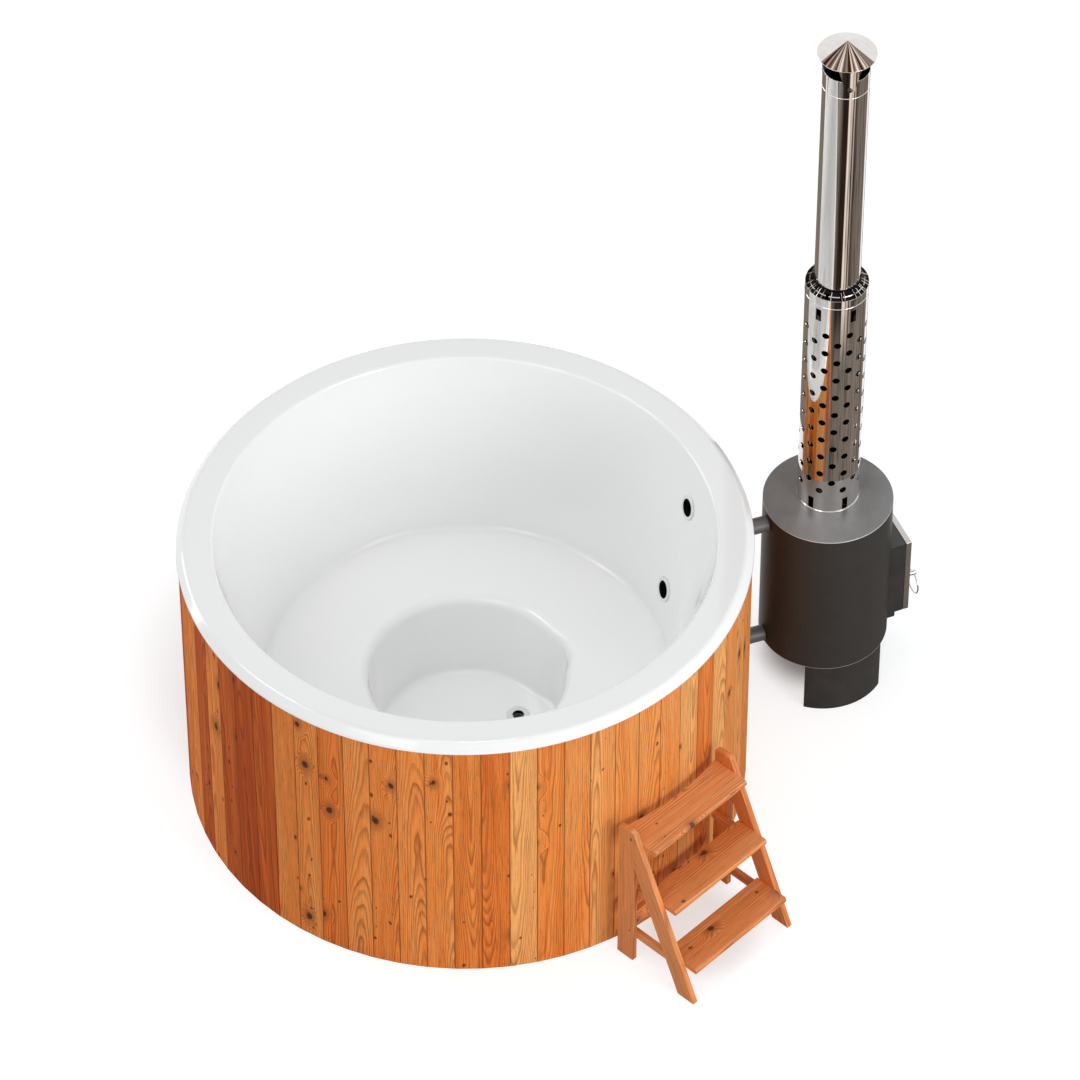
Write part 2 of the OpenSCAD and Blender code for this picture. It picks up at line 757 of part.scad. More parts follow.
module valve_body() {
    socket_l = 12;
    color("gold") difference() {
        union() {
            translate([drain_at[0], drain_out_y - socket_l, drain_z]) rotate([-90, 0, 0])
                cylinder(r = valve_r - 3, h = valve_l + socket_l, $fn = fn_small);
            at_ball() rotate([-90, 0, 0]) translate([0, 0, -ball_r - 3])
                cylinder(r = valve_r, h = 2 * ball_r + 6, $fn = fn_small);
            translate([drain_at[0], ball_y + valve_l / 2, drain_z]) rotate([-90, 0, 0])
                cylinder(r = drain_pipe_r, h = spout_l, $fn = fn_small);
            at_ball() cylinder(r = stem_r + 5, h = valve_top - drain_z, $fn = fn_small);
        }
        translate([drain_at[0], drain_out_y - socket_l - cut, drain_z]) rotate([-90, 0, 0])
            cylinder(r = drain_pipe_r + 0.05, h = socket_l + cut, $fn = fn_small);
        translate([drain_at[0], drain_out_y - cut, drain_z]) rotate([-90, 0, 0])
            cylinder(r = drain_bore, h = valve_l + spout_l + 2 * cut, $fn = fn_small);
        at_ball() sphere(r = ball_r + 0.3, $fn = fn_small);
        at_ball() cylinder(r = stem_r + stem_fit, h = valve_top, $fn = fn_small);
    }
}

module valve_ball() {
    color(steel) difference() {
        union() {
            at_ball() sphere(r = ball_r, $fn = fn_small);
            at_ball() cylinder(r = stem_r, h = valve_top - drain_z + 6, $fn = fn_small);
        }
        at_ball() rotate([0, 90, 0])
            cylinder(r = drain_bore - 2, h = 3 * ball_r, center = true, $fn = fn_small);
    }
}

module valve_lever() {
    lever_t = 4;
    color([0.7, 0.1, 0.08]) at_ball() translate([0, 0, valve_top - drain_z + 0.5]) difference() {
        linear_extrude(lever_t) union() {
            circle(r = 12, $fn = fn_small);
            translate([0, -7]) square([lever_l - 7, 14]);
            translate([lever_l - 7, 0]) circle(r = 7, $fn = fn_small);
        }
        translate([0, 0, -cut]) cylinder(r = stem_r, h = lever_t + 2 * cut, $fn = fn_small);
    }
}

// --- Stove ------------------------------------------------------------------

stove_at = [stove_dist * cos(stove_az), stove_dist * sin(stove_az)];
module at_stove(az = 0) { translate([stove_at[0], stove_at[1], 0]) rotate([0, 0, az]) children(); }
module facing_door() { at_stove(door_az) children(); }

stub_r = hose_bore - hose_fit;
flue_at = [0, flue_back];
collar_in = sqrt(pow(firebox_r - firebox_t, 2) - pow(door_w / 2, 2));
collar_front = door_back - door_gap;
seal_t = 8;
ash_top = door_z - 0.4;
ash_floor = stove_foot_z + jacket_t;
ash_in = -firebox_r + 45;

module door_cut(grow, from, to) {
    translate([from, -door_w / 2 - grow, door_z - grow])
        cube([to - from, door_w + 2 * grow, door_h + 2 * grow]);
}

module ash_cut(from, to) {
    translate([from, -ash_w / 2, ash_floor]) cube([to - from, ash_w, ash_top - ash_floor]);
}

module stove_jacket() {
    color(dark_steel) difference() {
        at_stove() translate([0, 0, stove_foot_z]) tube(stove_r, jacket_t, stove_top - lid_t - stove_foot_z);
        facing_door() door_cut(0, 0, 2 * stove_r);
        facing_door() ash_cut(0, 2 * stove_r);
        at_stove(180 + stove_az) for (z = [hot_out_z, cold_out_z])
            translate([stove_r / 2, 0, z]) rotate([0, 90, 0])
                cylinder(r = stub_r, h = stove_r, $fn = fn_small);
    }
}

module stove_lid() {
    color([0.35, 0.35, 0.35]) at_stove() translate([0, 0, stove_top - lid_t]) difference() {
        cylinder(r = stove_r, h = lid_t, $fn = fn_big);
        translate([flue_at[0], flue_at[1], -cut]) cylinder(r = flue_r, h = lid_t + 2 * cut, $fn = fn_big);
    }
}

module stove_floor() {
    color(dark_steel) at_stove() translate([0, 0, stove_foot_z])
        cylinder(r = stove_r - jacket_t, h = jacket_t, $fn = fn_big);
}

module firebox() {
    floor_z = door_z - 0.4;
    color(dark_steel) difference() {
        at_stove() translate([0, 0, floor_z])
            cylinder(r = firebox_r, h = firebox_top - floor_z, $fn = fn_big);
        at_stove() translate([0, 0, floor_z + firebox_t])
            cylinder(r = firebox_r - firebox_t, h = firebox_top - floor_z - 2 * firebox_t, $fn = fn_big);
        facing_door() door_cut(0, 0, 2 * firebox_r);
        facing_door() translate([-grate_w / 2 + 10, -grate_w / 2 + 10, floor_z - cut])
            cube([grate_w - 20, grate_w - 20, firebox_t + 2 * cut]);
        at_stove() translate([flue_at[0], flue_at[1], firebox_top - 2 * firebox_t])
            cylinder(r = flue_r, h = 4 * firebox_t, $fn = fn_big);
    }
}

grate_w = 130;
grate_t = 10;
grate_bars = 7;
module fire_grate() {
    slot = grate_w / (2 * grate_bars + 1);
    color([0.2, 0.19, 0.18]) facing_door() translate([0, 0, door_z - 0.4 + firebox_t]) difference() {
        translate([-grate_w / 2, -grate_w / 2, 0]) cube([grate_w, grate_w, grate_t]);
        for (i = [1:2:2 * grate_bars - 1])
            translate([-grate_w / 2 + 10, -grate_w / 2 + i * slot, -cut])
                cube([grate_w - 20, slot, grate_t + 2 * cut]);
    }
}

module stove_legs() {
    color(dark_steel) facing_door() for (side = [90, -90])
        rotate([0, 0, side - leg_arc / 2]) rotate_extrude(angle = leg_arc, $fn = fn_big)
            translate([stove_r - jacket_t, 0]) square([jacket_t, stove_foot_z]);
}

module water_stubs() {
    color(dark_steel) at_stove(180 + stove_az) for (z = [hot_out_z, cold_out_z])
        translate([stove_r - jacket_t, 0, z]) rotate([0, 90, 0])
            ring(stub_r, stub_r - stub_wall, stub_l, fn_small);
}

// Open box that leads from the firebox through the jacket to the door
module door_collar() {
    color(dark_steel) facing_door() difference() {
        door_cut(0, collar_in, collar_front);
        door_cut(-collar_t, collar_in - cut, collar_front + cut);
    }
}

// The hinges stand at the door's edge that is further round from the steps
hinge_y = door_w / 2 + knuckle_r + 1;
hinge_x = door_back + door_t / 2;
hinge_zs = [door_z + 45, door_z + door_h - 45 - 2 * knuckle_h];
knuckle_gap = 0.4;

module collar_hinges() {
    color(dark_steel) facing_door() for (z = hinge_zs) difference() {
        union() {
            translate([hinge_x, hinge_y, z]) cylinder(r = knuckle_r, h = knuckle_h, $fn = fn_small);
            translate([hinge_x - 46, door_w / 2 + 0.3, z]) cube([46, 4, knuckle_h]);
            translate([hinge_x - 5, door_w / 2 + 0.3, z]) cube([5, knuckle_r, knuckle_h]);
        }
        translate([hinge_x, hinge_y, z - cut]) cylinder(r = pin_r, h = knuckle_h + 2 * cut, $fn = fn_small);
    }
}

module fire_door() {
    edge = 2.5;
    z_low = door_z;
    color(steel) facing_door() difference() {
        union() {
            translate([door_back, -door_w / 2, z_low]) cube([door_t, door_w, door_h]);
            for (z = hinge_zs) translate([0, 0, z + knuckle_h + knuckle_gap]) {
                translate([hinge_x, hinge_y, 0]) cylinder(r = knuckle_r, h = knuckle_h, $fn = fn_small);
                translate([hinge_x, door_w / 2 - 6, 0]) cube([4, knuckle_r + 6, knuckle_h]);
            }
        }
        translate([door_back - cut, -door_w / 2 + edge, z_low + edge])
            cube([door_t - edge + cut, door_w - 2 * edge, door_h - 2 * edge]);
        for (z = hinge_zs) translate([hinge_x, hinge_y, z + knuckle_h])
            cylinder(r = pin_r + pin_fit, h = knuckle_h + 2, $fn = fn_small);
        at_boss() cylinder(r = boss_stud_r, h = 3 * door_t, center = true, $fn = fn_small);
    }
}

// Insulating board that fills the door's pan, with a rope seal on its face
module door_seal() {
    edge = 2.5;
    face = 14;
    color([0.8, 0.78, 0.72]) facing_door() difference() {
        translate([door_back + 2, -door_w / 2 + edge + 0.3, door_z + edge + 0.3])
            cube([door_t - edge - 2.3, door_w - 2 * edge - 0.6, door_h - 2 * edge - 0.6]);
        translate([door_back + 2 - cut, -door_w / 2 + face, door_z + face])
            cube([seal_t / 2 + cut, door_w - 2 * face, door_h - 2 * face]);
        for (z = hinge_zs) translate([hinge_x - 1, door_w / 2 - 7, z + knuckle_h])
            cube([8, 8, knuckle_h + 2]);
        at_boss() cylinder(r = boss_stud_r + 0.5, h = 3 * door_t, center = true, $fn = fn_small);
    }
}

module hinge_pins() {
    color(steel) facing_door() for (z = hinge_zs) translate([hinge_x, hinge_y, z - 3]) {
        cylinder(r = pin_r, h = 2 * knuckle_h + knuckle_gap + 3, $fn = fn_small);
        cylinder(r = pin_r + 2, h = 3 - 0.4, $fn = fn_small);
    }
}

// The ring hangs in a drilled boss near the door's free edge
boss_y = -door_w / 2 + boss_in;
boss_z = door_z + boss_up;
boss_stud_r = 3;
ring_x = door_back + door_t + boss_l - boss_r;
ring_hole_r = ring_wire + ring_r - sqrt(ring_r * ring_r - boss_r * boss_r) + ring_fit;
module at_boss() {
    translate([door_back + door_t, boss_y, boss_z]) rotate([0, 90, 0]) children();
}

module handle_boss() {
    color(steel) facing_door() difference() {
        union() {
            at_boss() cylinder(r = boss_r, h = boss_l, $fn = fn_small);
            at_boss() translate([0, 0, -door_t + 1]) cylinder(r = boss_stud_r, h = door_t, $fn = fn_small);
        }
        translate([ring_x, boss_y, boss_z]) rotate([90, 0, 0])
            cylinder(r = ring_hole_r, h = 4 * boss_r, center = true, $fn = fn_small);
    }
}

module ring_handle() {
    color(steel) facing_door() translate([ring_x, boss_y, boss_z - ring_r]) rotate([0, 90, 0])
        rotate_extrude($fn = fn_big) translate([ring_r, 0]) circle(r = ring_wire, $fn = 24);
}

module ash_box() {
    color(dark_steel) facing_door() difference() {
        translate([ash_in, -ash_w / 2, ash_floor]) cube([ash_front - ash_in, ash_w, ash_top - ash_floor]);
        translate([ash_in + ash_t, -ash_w / 2 + ash_t, ash_floor + ash_t])
            cube([ash_front - ash_in, ash_w - 2 * ash_t, ash_top - ash_floor - 2 * ash_t]);
        translate([-grate_w / 2 + 10, -grate_w / 2 + 10, ash_top - 2 * ash_t])
            cube([grate_w - 20, grate_w - 20, 3 * ash_t]);
    }
}

module ash_drawer() {
    x0 = ash_in + ash_t + ash_fit;
    half = ash_w / 2 - ash_t - ash_fit;
    z0 = ash_floor + ash_t + 0.3;
    h = ash_top - ash_t - ash_fit - 2 - z0;
    color(dark_steel) facing_door() difference() {
        union() {
            translate([x0, -half, z0]) cube([ash_front + 0.4 - x0, 2 * half, h]);
            translate([ash_front + 0.4, -ash_w / 2, ash_floor + 0.5])
                cube([ash_t, ash_w, ash_top - ash_floor - 1]);
            translate([ash_front, 0, (ash_floor + ash_top) / 2]) rotate([0, 90, 0])
                cylinder(r = 7, h = 16, $fn = fn_small);
        }
        translate([x0 + ash_t, -half + ash_t, z0 + ash_t])
            cube([ash_front - x0 - ash_t, 2 * half - 2 * ash_t, h]);
    }
}

// --- Chimney ----------------------------------------------------------------

module at_flue(az = 0) { at_stove() translate([flue_at[0], flue_at[1], 0]) rotate([0, 0, az]) children(); }
bead = 1.4;

module bead_ring(r, z) {
    translate([0, 0, z]) rotate_extrude($fn = fn_big) polygon([[r - 0.5, -bead], [r, -bead], [r + bead, 0],
        [r, bead], [r - 0.5, bead]]);
}

module flue_pipe() {
    color(steel) at_flue() translate([0, 0, firebox_top - firebox_t])
        tube(flue_r, flue_t, flue_joint_z - firebox_top + firebox_t);
}

module flue_top() {
    color(steel) difference() {
        at_flue() union() {
            translate([0, 0, flue_joint_z]) tube(flue_r, flue_t, flue_joint_down);
            bead_ring(flue_r, flue_joint_z + bead);
        }
        each_strap() bolt_hole();
    }
}

guard_bead_z = guard_top - 35;
base_ring_t = 1.5;
guard_foot = stove_top + base_ring_t;
slot_turns = [-99.3, -33.1, 33.1, 99.3];
module guard_slot(z) {
    around_slots() translate([guard_r / 2, -slot_w / 2, z]) cube([guard_r, slot_w, slot_h]);
}
module around_slots() { for (a = slot_turns) rotate([0, 0, slot_az + a]) children(); }

module heat_guard() {
    rows = floor((guard_bead_z - slot_h - 40 - hole_z) / hole_pitch);
    color(steel) at_flue() difference() {
        union() {
            translate([0, 0, guard_foot]) tube(guard_r, guard_t, guard_top - guard_foot);
            bead_ring(guard_r, guard_bead_z);
        }
        for (c = [0:hole_cols - 1], k = [0:rows])
            if (c % 2 == 1 || k < rows)
                rotate([0, 0, hole_az + c * 360 / hole_cols])
                    translate([guard_r / 2, 0, hole_z + (k + (c % 2 == 1 ? 0 : 0.5)) * hole_pitch])
                        rotate([0, 90, 0]) cylinder(r = hole_r, h = guard_r, $fn = 24);
        guard_slot(stove_top + 4);
        guard_slot(guard_bead_z - slot_h - 15);
    }
}

// Cone of sheet with tabs that centres the guard on the flue
module guard_spacer() {
    tabs = 12;
    inner = flue_r + 0.3;
    outer = guard_r - guard_t - 0.3;
    low = guard_top - 3;
    color([0.12, 0.12, 0.12]) at_flue() difference() {
        rotate_extrude($fn = fn_big) polygon([
            [inner, guard_top + spacer_up],
            [inner + 2, guard_top + spacer_up],
            [inner + 2, guard_top + spacer_up - 10],
            [outer, low],
            [outer, low - 12],
            [outer - 1.5, low - 12],
            [outer - 1.5, low - 1.5],
            [inner + 0.5, guard_top + spacer_up - 13],
            [inner, guard_top + spacer_up - 13]]);
        around(tabs, 7) translate([inner + 6, -5, guard_top - 20]) cube([outer - inner - 11, 10, 60]);
    }
}

module guard_base_ring() {
    color(steel) at_flue() translate([0, 0, stove_top]) difference() {
        union() {
            ring(guard_r + 2.5, flue_r + 0.3, base_ring_t);
            ring(flue_r + 2.3, flue_r + 0.3, 16);
        }
        around(8) translate([(flue_r + guard_r) / 2, 0, -cut]) cylinder(r = 6, h = 4, $fn = fn_small);
    }
}

cap_t = 1.2;
cap_slope = cap_h / cap_r;
module rain_cap() {
    color(steel) at_flue() rotate_extrude($fn = fn_big) polygon([
        [0, cap_z + cap_h],
        [cap_r, cap_z],
        [cap_r, cap_z - 2.5],
        [cap_r - cap_t, cap_z - 2.5],
        [cap_r - cap_t, cap_z + cap_t * cap_slope - 1.6],
        [0, cap_z + cap_h - 1.6]]);
}

strap_t = 1.5;
strap_r = flue_r + strap_t;
strap_bolt_z = flue_mouth_z - 31;
bolt_r = 3;
module each_strap() { at_flue() around(strap_count, strap_az) children(); }
module bolt_hole() {
    translate([flue_r - 8, 0, strap_bolt_z]) rotate([0, 90, 0]) cylinder(r = bolt_r, h = 16, $fn = 24);
}

module cap_straps() {
    top_z = cap_z + (cap_r - strap_r) * cap_slope - 1.8;
    color(steel) difference() {
        intersection() {
            at_flue() translate([0, 0, strap_bolt_z - 30])
                tube(strap_r, strap_t - 0.1, top_z - strap_bolt_z + 30);
            each_strap() translate([flue_r / 2, 0, strap_bolt_z]) rotate([90, 0, 90]) linear_extrude(flue_r)
                union() {
                    circle(r = strap_foot_w / 2, $fn = fn_small);
                    polygon([
                        [-strap_foot_w / 2, 0],
                        [strap_foot_w / 2, 0],
                        [strap_top_w / 2, top_z - strap_bolt_z],
                        [-strap_top_w / 2, top_z - strap_bolt_z]]);
                }
        }
        each_strap() bolt_hole();
    }
}

module cap_bolts() {
    color(zinc) each_strap() translate([0, 0, strap_bolt_z]) rotate([0, 90, 0]) {
        translate([0, 0, strap_r]) cylinder(r = 6, h = 4, $fn = 24);
        translate([0, 0, flue_r - flue_t - 8]) cylinder(r = bolt_r, h = 9.5 + strap_t, $fn = 24);
        translate([0, 0, flue_r - flue_t - 6]) cylinder(r = 5.5, h = 5.6, $fn = 6);
    }
}

// --- Steps ------------------------------------------------------------------

module at_steps() { rotate([0, 0, steps_az]) translate([0, steps_off, 0]) children(); }
module each_side() {
    for (s = [-1, 1]) translate([0, s > 0 ? steps_w / 2 - plank_t : -steps_w / 2, 0]) children();
}
// Outline drawn as distance and height, given the thickness of a board
module upright(t) { rotate([90, 0, 0]) mirror([0, 0, 1]) linear_extrude(t) children(); }

stringer_foot = post_back + stringer_reach;
post_front = post_back + post_w;
function front_at(z) = stringer_foot - z * tan(stringer_tilt);
inner_half = steps_w / 2 - plank_t;
side_fit = 0.3;
joint_gap = 0.3;
tread_zs = [for (i = [0:2]) tread_z + i * tread_rise];
function nose_at(z) = front_at(z) + nose_out;
cleat_w = 19;
cleat_back = post_back + 8;
screw_r = 2.2;

frame_outline = [
    [post_back, 0, 0],
    [stringer_foot, 0, 0],
    [front_at(frame_h), frame_h, shoulder_r],
    [post_back, frame_h - top_fall, post_round]];

module side_outline() { polygon(closed(frame_outline)); }

module step_posts() {
    color(wood) at_steps() difference() {
        each_side() upright(plank_t) intersection() {
            side_outline();
            translate([post_back, 0]) square([post_w - joint_gap, frame_h]);
        }
        screw_holes();
    }
}

module step_stringers() {
    color(wood) at_steps() difference() {
        each_side() upright(plank_t) intersection() {
            side_outline();
            translate([post_front, 0]) square([stringer_reach, frame_h]);
            polygon([[stringer_foot, 0], [stringer_foot - stringer_w, 0],
                [front_at(frame_h) - stringer_w, frame_h], [stringer_foot, frame_h]]);
        }
        screw_holes();
    }
}

// A tread from its back edge to its rounded nose
module tread(z, from, to) {
    translate([0, -inner_half + side_fit, 0]) upright(2 * (inner_half - side_fit)) polygon(closed([
        [from, z - plank_t, 0],
        [to, z - plank_t, 3],
        [to, z, nose_round],
        [from, z, 0]]));
}

module tread_top() {
    color(wood) difference() {
        at_steps() tread(tread_zs[2], post_back - 40, nose_at(tread_zs[2]));
        translate([0, 0, tread_zs[2] - 2 * plank_t])
            cylinder(r = clad_r + tread_gap, h = 4 * plank_t, $fn = fn_big);
    }
}

module tread_middle() {
    color(wood) at_steps() tread(tread_zs[1], nose_at(tread_zs[1]) - tread_d, nose_at(tread_zs[1]));
}

module tread_bottom() {
    color(wood) at_steps() tread(tread_zs[0], nose_at(tread_zs[0]) - tread_d + strip_w, nose_at(tread_zs[0]));
}

module tread_back_strip() {
    nose = nose_at(tread_zs[0]);
    color(wood) at_steps() translate([nose - tread_d - 4, -inner_half + side_fit, tread_zs[0] - plank_t])
        cube([strip_w + 4 - joint_gap, 2 * (inner_half - side_fit), plank_t]);
}

function cleat_front(z) = front_at(z) - 10;
module each_cleat_side() {
    for (s = [-1, 1]) translate([0, s > 0 ? inner_half - cleat_w : -inner_half, 0]) children();
}

module tread_cleats() {
    color(wood) at_steps() difference() {
        each_cleat_side() for (z = tread_zs)
            translate([cleat_back, 0, z - plank_t - cleat_h])
                cube([cleat_front(z) - cleat_back, cleat_w, cleat_h]);
        screw_holes();
    }
}

rail_back = post_front - 24;
module back_rail() {
    color(wood) at_steps() translate([rail_back, -inner_half + side_fit, rail_z])
        cube([plank_t, 2 * (inner_half - side_fit), rail_h]);
}

// One screw into the post and one into the stringer through each cleat
module each_screw() {
    for (s = [-1, 1], z = tread_zs, x = [post_back + 30, cleat_front(z) - 14])
        translate([x, s * inner_half, z - plank_t - cleat_h / 2]) rotate([s * 90, 0, 0]) children();
}

module screw_holes() {
    at_screw_len = cleat_w + 12;
    each_screw() translate([0, 0, -12]) cylinder(r = screw_r, h = at_screw_len + cut, $fn = 16);
}

module cleat_screws() {
    color(zinc) at_steps() each_screw() {
        translate([0, 0, -11]) cylinder(r = screw_r - 0.1, h = cleat_w + 11, $fn = 16);
        translate([0, 0, cleat_w]) cylinder(r = 4.5, h = 2.2, $fn = 16);
    }
}

liner();
cladding_boards_1();
cladding_boards_2();
cladding_boards_3();
cladding_boards_4();
cladding_boards_5();
floor_bearers();
base_deck();
footwell_pad();
lower_studs();
bench_ring();
upper_studs();
rim_ring();
wall_fittings();
fitting_washers();
fitting_nuts();
upper_hose();
lower_hose();
hose_clamps();
drain_fitting();
drain_washer();
drain_nut();
drain_pipe();
valve_body();
valve_ball();
valve_lever();
stove_jacket();
stove_lid();
stove_floor();
firebox();
fire_grate();
stove_legs();
water_stubs();
door_collar();
collar_hinges();
fire_door();
door_seal();
hinge_pins();
handle_boss();
ring_handle();
ash_box();
ash_drawer();
flue_pipe();
flue_top();
heat_guard();
guard_spacer();
guard_base_ring();
rain_cap();
cap_straps();
cap_bolts();
step_posts();
step_stringers();
tread_top();
tread_middle();
tread_bottom();
tread_back_strip();
tread_cleats();
back_rail();
cleat_screws();
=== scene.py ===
"""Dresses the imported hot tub: moulded liner, board cladding, stove, chimney and steps."""
import random
from math import atan, atan2, cos, dist, hypot, pi, radians, sin, sqrt, tan, tau

import bpy
from mathutils import Matrix, Vector


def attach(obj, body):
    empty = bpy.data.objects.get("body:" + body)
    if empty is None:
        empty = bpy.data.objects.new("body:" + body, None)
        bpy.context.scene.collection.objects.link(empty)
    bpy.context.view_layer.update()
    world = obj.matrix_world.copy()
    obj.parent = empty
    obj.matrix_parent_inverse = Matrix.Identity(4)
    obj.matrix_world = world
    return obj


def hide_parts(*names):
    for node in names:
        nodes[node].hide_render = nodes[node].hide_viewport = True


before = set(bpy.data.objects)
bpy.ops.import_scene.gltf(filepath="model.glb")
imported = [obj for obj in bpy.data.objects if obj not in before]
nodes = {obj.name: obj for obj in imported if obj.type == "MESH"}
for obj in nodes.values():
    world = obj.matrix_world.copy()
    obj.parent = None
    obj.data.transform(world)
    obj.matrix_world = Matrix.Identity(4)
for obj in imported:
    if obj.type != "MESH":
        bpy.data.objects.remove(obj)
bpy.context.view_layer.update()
MM = 0.001
X, Y, Z = Vector((1, 0, 0)), Vector((0, 1, 0)), Vector((0, 0, 1))

# Sizes shared with the part's source, in millimetres and degrees
RIM_R, RIM_TOP, RIM_ROLL, RIM_DROP, LIP_H = 937, 1070, 24, 27, 33
MOUTH_R, WALL_FOOT_R, BENCH_Z = 820, 662, 425
WELL_TOP_R, WELL_FLOOR_R, WELL_Z = 330, 292, 115
BULGE_AZ, BULGE_TOP, BULGE_FLOOR, BULGE_R = 18, 16, 31, 125
SHELL = 6
CLAD_R, BOARD_T, BOARDS, BOARD_AZ, BOARD_GAP, BOARD_BEVEL = 932, 20, 65, 2.06, 0.4, 1.8
HOT_Z, HOT_AZ, COLD_Z, COLD_AZ = 911, 20.8, 566, 19.9
HOT_OUT_Z, COLD_OUT_Z = 750, 226
STOVE_DIST, STOVE_AZ, STOVE_R, STOVE_FOOT, STOVE_TOP = 1273.7, 20.14, 216.7, 197, 802
STOVE_WALL, LID_T, ASH_HALF, ASH_LOW = 3, 4, 70, 200
DOOR_AZ, DOOR_W, DOOR_H, DOOR_Z, DOOR_T, DOOR_BACK = 22.6, 200, 317, 254.4, 20, 249.6
FLUE_BACK, FLUE_R, FLUE_T, FLUE_FOOT, FLUE_JOINT, FLUE_TOP = 28, 75, 1.5, 702, 2603, 2673
GUARD_R, GUARD_T, GUARD_TOP = 102.9, 1.5, 1760
CAP_R, CAP_Z, CAP_H, STRAP_AZ = 94.4, 2733, 49, -83
STEPS_AZ, STEPS_OFF, STEPS_W, PLANK = -43.8, -34, 473.6, 20
POST_BACK, POST_W, FRAME_H, REACH, TILT, STRINGER_W = 942.6, 70, 619, 340, 24, 69
TREAD_Z, TREAD_RISE, TREAD_D, NOSE_OUT = 143, 211, 126, 54
DRAIN_R, DRAIN_AZ, DRAIN_Z = 190, 27, 34

# Holes and pipes
FITTINGS = (HOT_AZ, HOT_Z), (COLD_AZ, COLD_Z)
FITTING_SEAT_R, DRAIN_SEAT_R, HOSE_HOLE_R, DRAIN_HOLE_R = 34.3, 26.3, 27.8, 20.3
HOSE_R, HOSE_BORE_R = 27.5, 23.6

# Studio: name, place, aim, size in metres and power in watts of each soft lamp
SOFTBOXES = (
    ("key_softbox", (8.3, -8.2, 4.2), (0.2, 0, 0.5), 5.0, 560),
    ("front_softbox", (-4.0, -7.0, 8.0), (0.2, 0, 0.5), 4.0, 90),
    ("back_softbox", (-8.5, 4.0, 3.9), (0.2, 0, 0.8), 4.0, 175),
    ("top_softbox", (0.0, 0.0, 10.5), (0.0, 0, 0.0), 2.5, 80),
)
SPOT_HEIGHT, SPOT_POWER, SPOT_ANGLE, SPOT_SOFTNESS = 10.5, 400, 10.5, 0.6
SKY, SKY_LIGHT = (0.992, 0.996, 1.0), 0.53
CAMERA_PLACE, CAMERA_DOWN, CAMERA_LENS = (0.24198, -14.89744, 16.32525), 45.73, 219.72


def metres(values):
    """Millimetres to metres."""
    return tuple(v * MM for v in values)


def polar(r, azimuth):
    """The x and y of a place at a distance and an azimuth in degrees."""
    return r * cos(radians(azimuth)), r * sin(radians(azimuth))


STOVE = polar(STOVE_DIST, STOVE_AZ)
FLUE = (STOVE[0], STOVE[1] + FLUE_BACK)
DRAIN = polar(DRAIN_R, DRAIN_AZ)


# --- Modelling helpers ------------------------------------------------------

def mode(name):
    bpy.ops.object.mode_set(mode=name)


def clear():
    """Leaves edit mode and deselects everything."""
    if bpy.context.object and bpy.context.object.mode != "OBJECT":
        mode("OBJECT")
    bpy.ops.object.select_all(action="DESELECT")


def pick(obj):
    """Makes obj the only selected object and the active one."""
    clear()
    obj.select_set(True)
    bpy.context.view_layer.objects.active = obj
    return obj


def settle(obj):
    """Puts the object's place, turn and scale into its mesh."""
    pick(obj)
    bpy.ops.object.transform_apply(location=True, rotation=True, scale=True)
    return obj


def apply(obj, kind, **settings):
    """Adds one modifier with its settings and applies it."""
    pick(obj)
    modifier = obj.modifiers.new("shaping", kind)
    for key, value in settings.items():
        setattr(modifier, key, value)
    bpy.ops.object.modifier_apply(modifier=modifier.name)
    return obj


def soften(obj, angle):
    """Smooth shading, with edges sharper than the angle kept."""
    pick(obj)
    bpy.ops.object.shade_smooth_by_angle(angle=radians(angle))
    return apply(obj, "WEIGHTED_NORMAL", mode="FACE_AREA", weight=50, keep_sharp=True)


def ease(obj, width, segments=2, angle=40):
    """Rounds every edge sharper than the angle, width in millimetres."""
    return apply(obj, "BEVEL", width=width * MM, segments=segments, limit_method="ANGLE",
                 angle_limit=radians(angle), use_clamp_overlap=True)


def tidy_mesh(obj):
    """Merges doubled points and turns all faces outwards."""
    pick(obj)
    mode("EDIT")
    bpy.ops.mesh.select_all(action="SELECT")
    bpy.ops.mesh.remove_doubles(threshold=0.00002)
    bpy.ops.mesh.normals_make_consistent(inside=False)
    mode("OBJECT")
    return obj


def extrude(way):
    bpy.ops.mesh.extrude_region_move(TRANSFORM_OT_translate={"value": way})


def trace(points, closed=False):
    """Draws a line through points (in metres) by extruding one vertex."""
    clear()
    bpy.ops.mesh.primitive_plane_add(size=0.01, location=points[0])
    obj = bpy.context.object
    mode("EDIT")
    bpy.ops.mesh.select_mode(type="VERT")
    bpy.ops.mesh.select_all(action="SELECT")
    bpy.ops.mesh.merge(type="CENTER")
    for a, b in zip(points, points[1:]):
        extrude(tuple(b[i] - a[i] for i in range(3)))
    bpy.ops.mesh.select_all(action="SELECT")
    if closed:
        bpy.ops.mesh.edge_face_add()
    return obj


def drawn_out(points, way, closed=True):
    """A line or an outline (in metres) drawn out along a way, to a strip or a solid."""
    obj = trace(points, closed)
    extrude(way)
    mode("OBJECT")
    return tidy_mesh(settle(obj)) if closed else settle(obj)


def spun(line, centre=(0, 0), steps=128):
    """Spins a line of (radius, height) in millimetres round an upright axis."""
    x, y = metres(centre)
    obj = trace([((centre[0] + r) * MM, y, z * MM) for r, z in line])
    bpy.ops.mesh.spin(steps=steps, angle=tau, center=(x, y, 0), axis=(0, 0, 1))
    mode("OBJECT")
    return tidy_mesh(settle(obj))


def turned(path, corners, centre=(0, 0), steps=128):
    """Spins an open profile of (radius, height, rounding), in millimetres."""
    return spun(rounded(path, corners), centre, steps)


def hooped(path, corners, centre=(0, 0), steps=128):
    """Spins a closed section of (radius, height, rounding) to a hoop or a tube."""
    line = rounded_loop(path, corners)
    return spun(line + line[:1], centre, steps)


